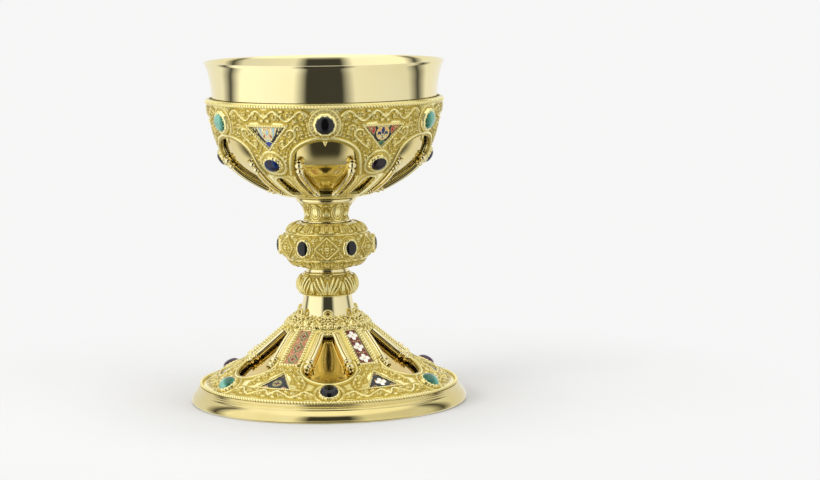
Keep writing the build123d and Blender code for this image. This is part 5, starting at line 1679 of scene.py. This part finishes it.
# chamfered hexagon nut
bag = Bag()
ang = np.arange(120) * 2 * math.pi / 120
hexr = 6.495 / np.cos(((ang + math.pi / 6) % (math.pi / 3)) - math.pi / 6)
rows = []
for zq, inner in ((37.9, None), (37.9, 6.35), (38.6, 7.2), (43.7, 7.2), (44.4, 6.35), (44.4, None)):
    if inner is None:
        rr = np.full(120, 4.05)
    else:
        rr = np.minimum(hexr, np.maximum(inner, 6.35) if inner < 7 else 7.45)
    rows.append(np.stack([rr * np.cos(ang), rr * np.sin(ang), np.full(120, zq)], -1) * MM)
bag.add(np.concatenate(rows), grid_faces(len(rows), 120, True))
put(bag.build("tie_nut_hex", [M_BRASS], smooth=False), "steel", "tie_nut")
washer = outline(("line", [(4.3, 46.0), (4.3, 44.4), (10.4, 44.4), (11.0, 45.0), (11.0, 46.0), (4.3, 46.0)]))
put(lathe("clamp_washer_turned", washer, M_BRASS, 128), "plain_brass", "clamp_washer")
boss = outline(("line", [(4.05, 115.4), (4.05, 105.0), (7.5, 105.0), (8.0, 105.5), (8.0, 115.2), (13.0, 115.2), (13.0, 117.15), (0.0, 117.15)]))
put(lathe("cup_boss_turned", boss, M_BRASS, 128), "plain_brass", "cup_boss")

# any CAD node still showing gets a finish
for name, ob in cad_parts.items():
    if not ob.hide_render:
        ob.data.materials.clear()
        ob.data.materials.append(M_SATIN)

# =============================================================== floor, light, camera
scene = bpy.context.scene
scene.view_settings.view_transform = "Standard"
scene.view_settings.look = "None"


def floor_material():
    """Pale matt sheet that runs out into an even pale surround."""
    m, nt, p = nodes_of("pale_floor")
    L = nt.links.new
    co = add_node(nt, "ShaderNodeTexCoord").outputs["Object"]
    n = noise(nt, co, 60.0, 3.0)
    r = ramp(nt, [(0.3, FLOOR_TONE), (0.7, tuple(min(1.0, q * 1.01) for q in FLOOR_TONE))])
    L(n.outputs["Fac"], r.inputs["Fac"])
    L(r.outputs["Color"], p.inputs["Base Color"])
    p.inputs["Roughness"].default_value = 0.9
    p.inputs["Specular IOR Level"].default_value = 0.0
    far = add_node(nt, "ShaderNodeEmission")
    rf = ramp(nt, [(0.3, (BACK, BACK, BACK * 0.997)), (0.7, (BACK * 1.003, BACK * 1.003, BACK))])
    L(n.outputs["Fac"], rf.inputs["Fac"])
    L(rf.outputs["Color"], far.inputs["Color"])
    ln = add_node(nt, "ShaderNodeVectorMath", operation="LENGTH")
    L(co, ln.inputs[0])
    fade = add_node(nt, "ShaderNodeMapRange", interpolation_type="SMOOTHSTEP", in_1=0.10, in_2=0.30, in_3=0.0, in_4=1.0)
    L(ln.outputs["Value"], fade.inputs[0])
    mix = add_node(nt, "ShaderNodeMixShader")
    L(fade.outputs[0], mix.inputs[0])
    L(p.outputs[0], mix.inputs[1])
    L(far.outputs[0], mix.inputs[2])
    out = [q for q in nt.nodes if q.bl_idname == "ShaderNodeOutputMaterial"][0]
    L(mix.outputs[0], out.inputs["Surface"])
    return m


BACK = 0.922
FLOOR_TONE = (0.575, 0.575, 0.570)
bpy.ops.mesh.primitive_circle_add(vertices=128, radius=12.0, fill_type="NGON", location=(0, 0, 0))
floor = bpy.context.object
floor.name = "floor"
floor.data.materials.append(floor_material())
floor.visible_glossy = False


def studio():
    """Plain soft studio: a neutral white tent with a soft dark opening at the camera and grey side seams."""
    w = bpy.data.worlds.new("studio")
    scene.world = w
    w.use_nodes = True
    nt = w.node_tree
    L = nt.links.new
    bg = nt.nodes["Background"]
    tc = add_node(nt, "ShaderNodeTexCoord")
    xyz = add_node(nt, "ShaderNodeSeparateXYZ")
    L(tc.outputs["Generated"], xyz.inputs[0])
    neg = add_node(nt, "ShaderNodeMath", operation="MULTIPLY", in_1=-1.0)
    L(xyz.outputs["Y"], neg.inputs[0])
    at = add_node(nt, "ShaderNodeMath", operation="ARCTAN2")
    L(xyz.outputs["X"], at.inputs[0])
    L(neg.outputs[0], at.inputs[1])
    az = add_node(nt, "ShaderNodeMapRange", in_1=-math.pi, in_2=math.pi, in_3=0.0, in_4=1.0)
    L(at.outputs[0], az.inputs[0])
    # greys only; azimuth in degrees, 0 at the camera, + to the right
    tent = ramp(nt, [((a + 180.0) / 360.0, (g, g, g)) for a, g in ((-180, 0.9), (-125, 0.9), (-110, 0.06), (-95, 1.2), (-32, 1.1), (-18, 0.05), (18, 0.05), (32, 0.9), (95, 0.8), (110, 0.06), (125, 0.9), (180, 0.9))])
    L(az.outputs[0], tent.inputs["Fac"])

    def blend(lo, hi, a, b):
        """Mixes from a to b as the direction rises from lo to hi."""
        f = add_node(nt, "ShaderNodeMapRange", interpolation_type="SMOOTHSTEP", in_1=lo, in_2=hi, in_3=0.0, in_4=1.0)
        L(xyz.outputs["Z"], f.inputs[0])
        m = add_node(nt, "ShaderNodeMix", data_type="RGBA")
        L(f.outputs[0], m.inputs["Factor"])
        for k, q in ((6, a), (7, b)):
            if isinstance(q, float):
                m.inputs[k].default_value = (q, q, q, 1)
            else:
                L(q, m.inputs[k])
        return m.outputs[2]

    c = blend(-0.95, -0.70, 0.35, tent.outputs["Color"])
    c = blend(0.62, 0.84, c, 1.3)
    lp = add_node(nt, "ShaderNodeLightPath")
    m = add_node(nt, "ShaderNodeMix", data_type="RGBA")
    m.inputs[7].default_value = (BACK, BACK, BACK, 1)
    L(lp.outputs["Is Camera Ray"], m.inputs["Factor"])
    L(c, m.inputs[6])
    L(m.outputs[2], bg.inputs["Color"])
    bg.inputs["Strength"].default_value = 1.0


studio()


def area(name, loc, size, power, target=(0, 0, 0.1)):
    """Soft box that lights every piece alike; the tent gives the reflections."""
    li = bpy.data.lights.new(name, "AREA")
    li.shape = "RECTANGLE"
    li.size, li.size_y = size
    li.energy = power
    ob = bpy.data.objects.new(name, li)
    scene.collection.objects.link(ob)
    ob.location = loc
    ob.rotation_euler = (Vector(target) - Vector(loc)).to_track_quat("-Z", "Y").to_euler()
    ob.visible_glossy = False
    return ob


area("key", (-0.95, -0.85, 0.60), (0.7, 0.7), 12.0)
area("fill", (1.0, -0.85, 0.45), (0.7, 0.7), 6.0)
area("top", (0.0, 0.1, 1.25), (0.9, 0.7), 5.0)

# camera at the photograph's viewpoint
yaw, pitch, roll = (math.radians(q) for q in (1.896, 6.794, -0.697))
fwd = Vector((math.sin(yaw) * math.cos(pitch), math.cos(yaw) * math.cos(pitch), -math.sin(pitch)))
right = Vector((math.cos(yaw), -math.sin(yaw), 0.0))
upv = right.cross(fwd)
r2 = math.cos(roll) * right + math.sin(roll) * upv
u2 = -math.sin(roll) * right + math.cos(roll) * upv
cam_data = bpy.data.cameras.new("camera")
cam_data.sensor_width = 36.0
cam_data.lens = 111.16
cam = bpy.data.objects.new("camera", cam_data)
scene.collection.objects.link(cam)
cam.matrix_world = Matrix(((r2.x, u2.x, -fwd.x, 0.0), (r2.y, u2.y, -fwd.y, -1.4022), (r2.z, u2.z, -fwd.z, 0.2560), (0, 0, 0, 1)))
scene.camera = cam
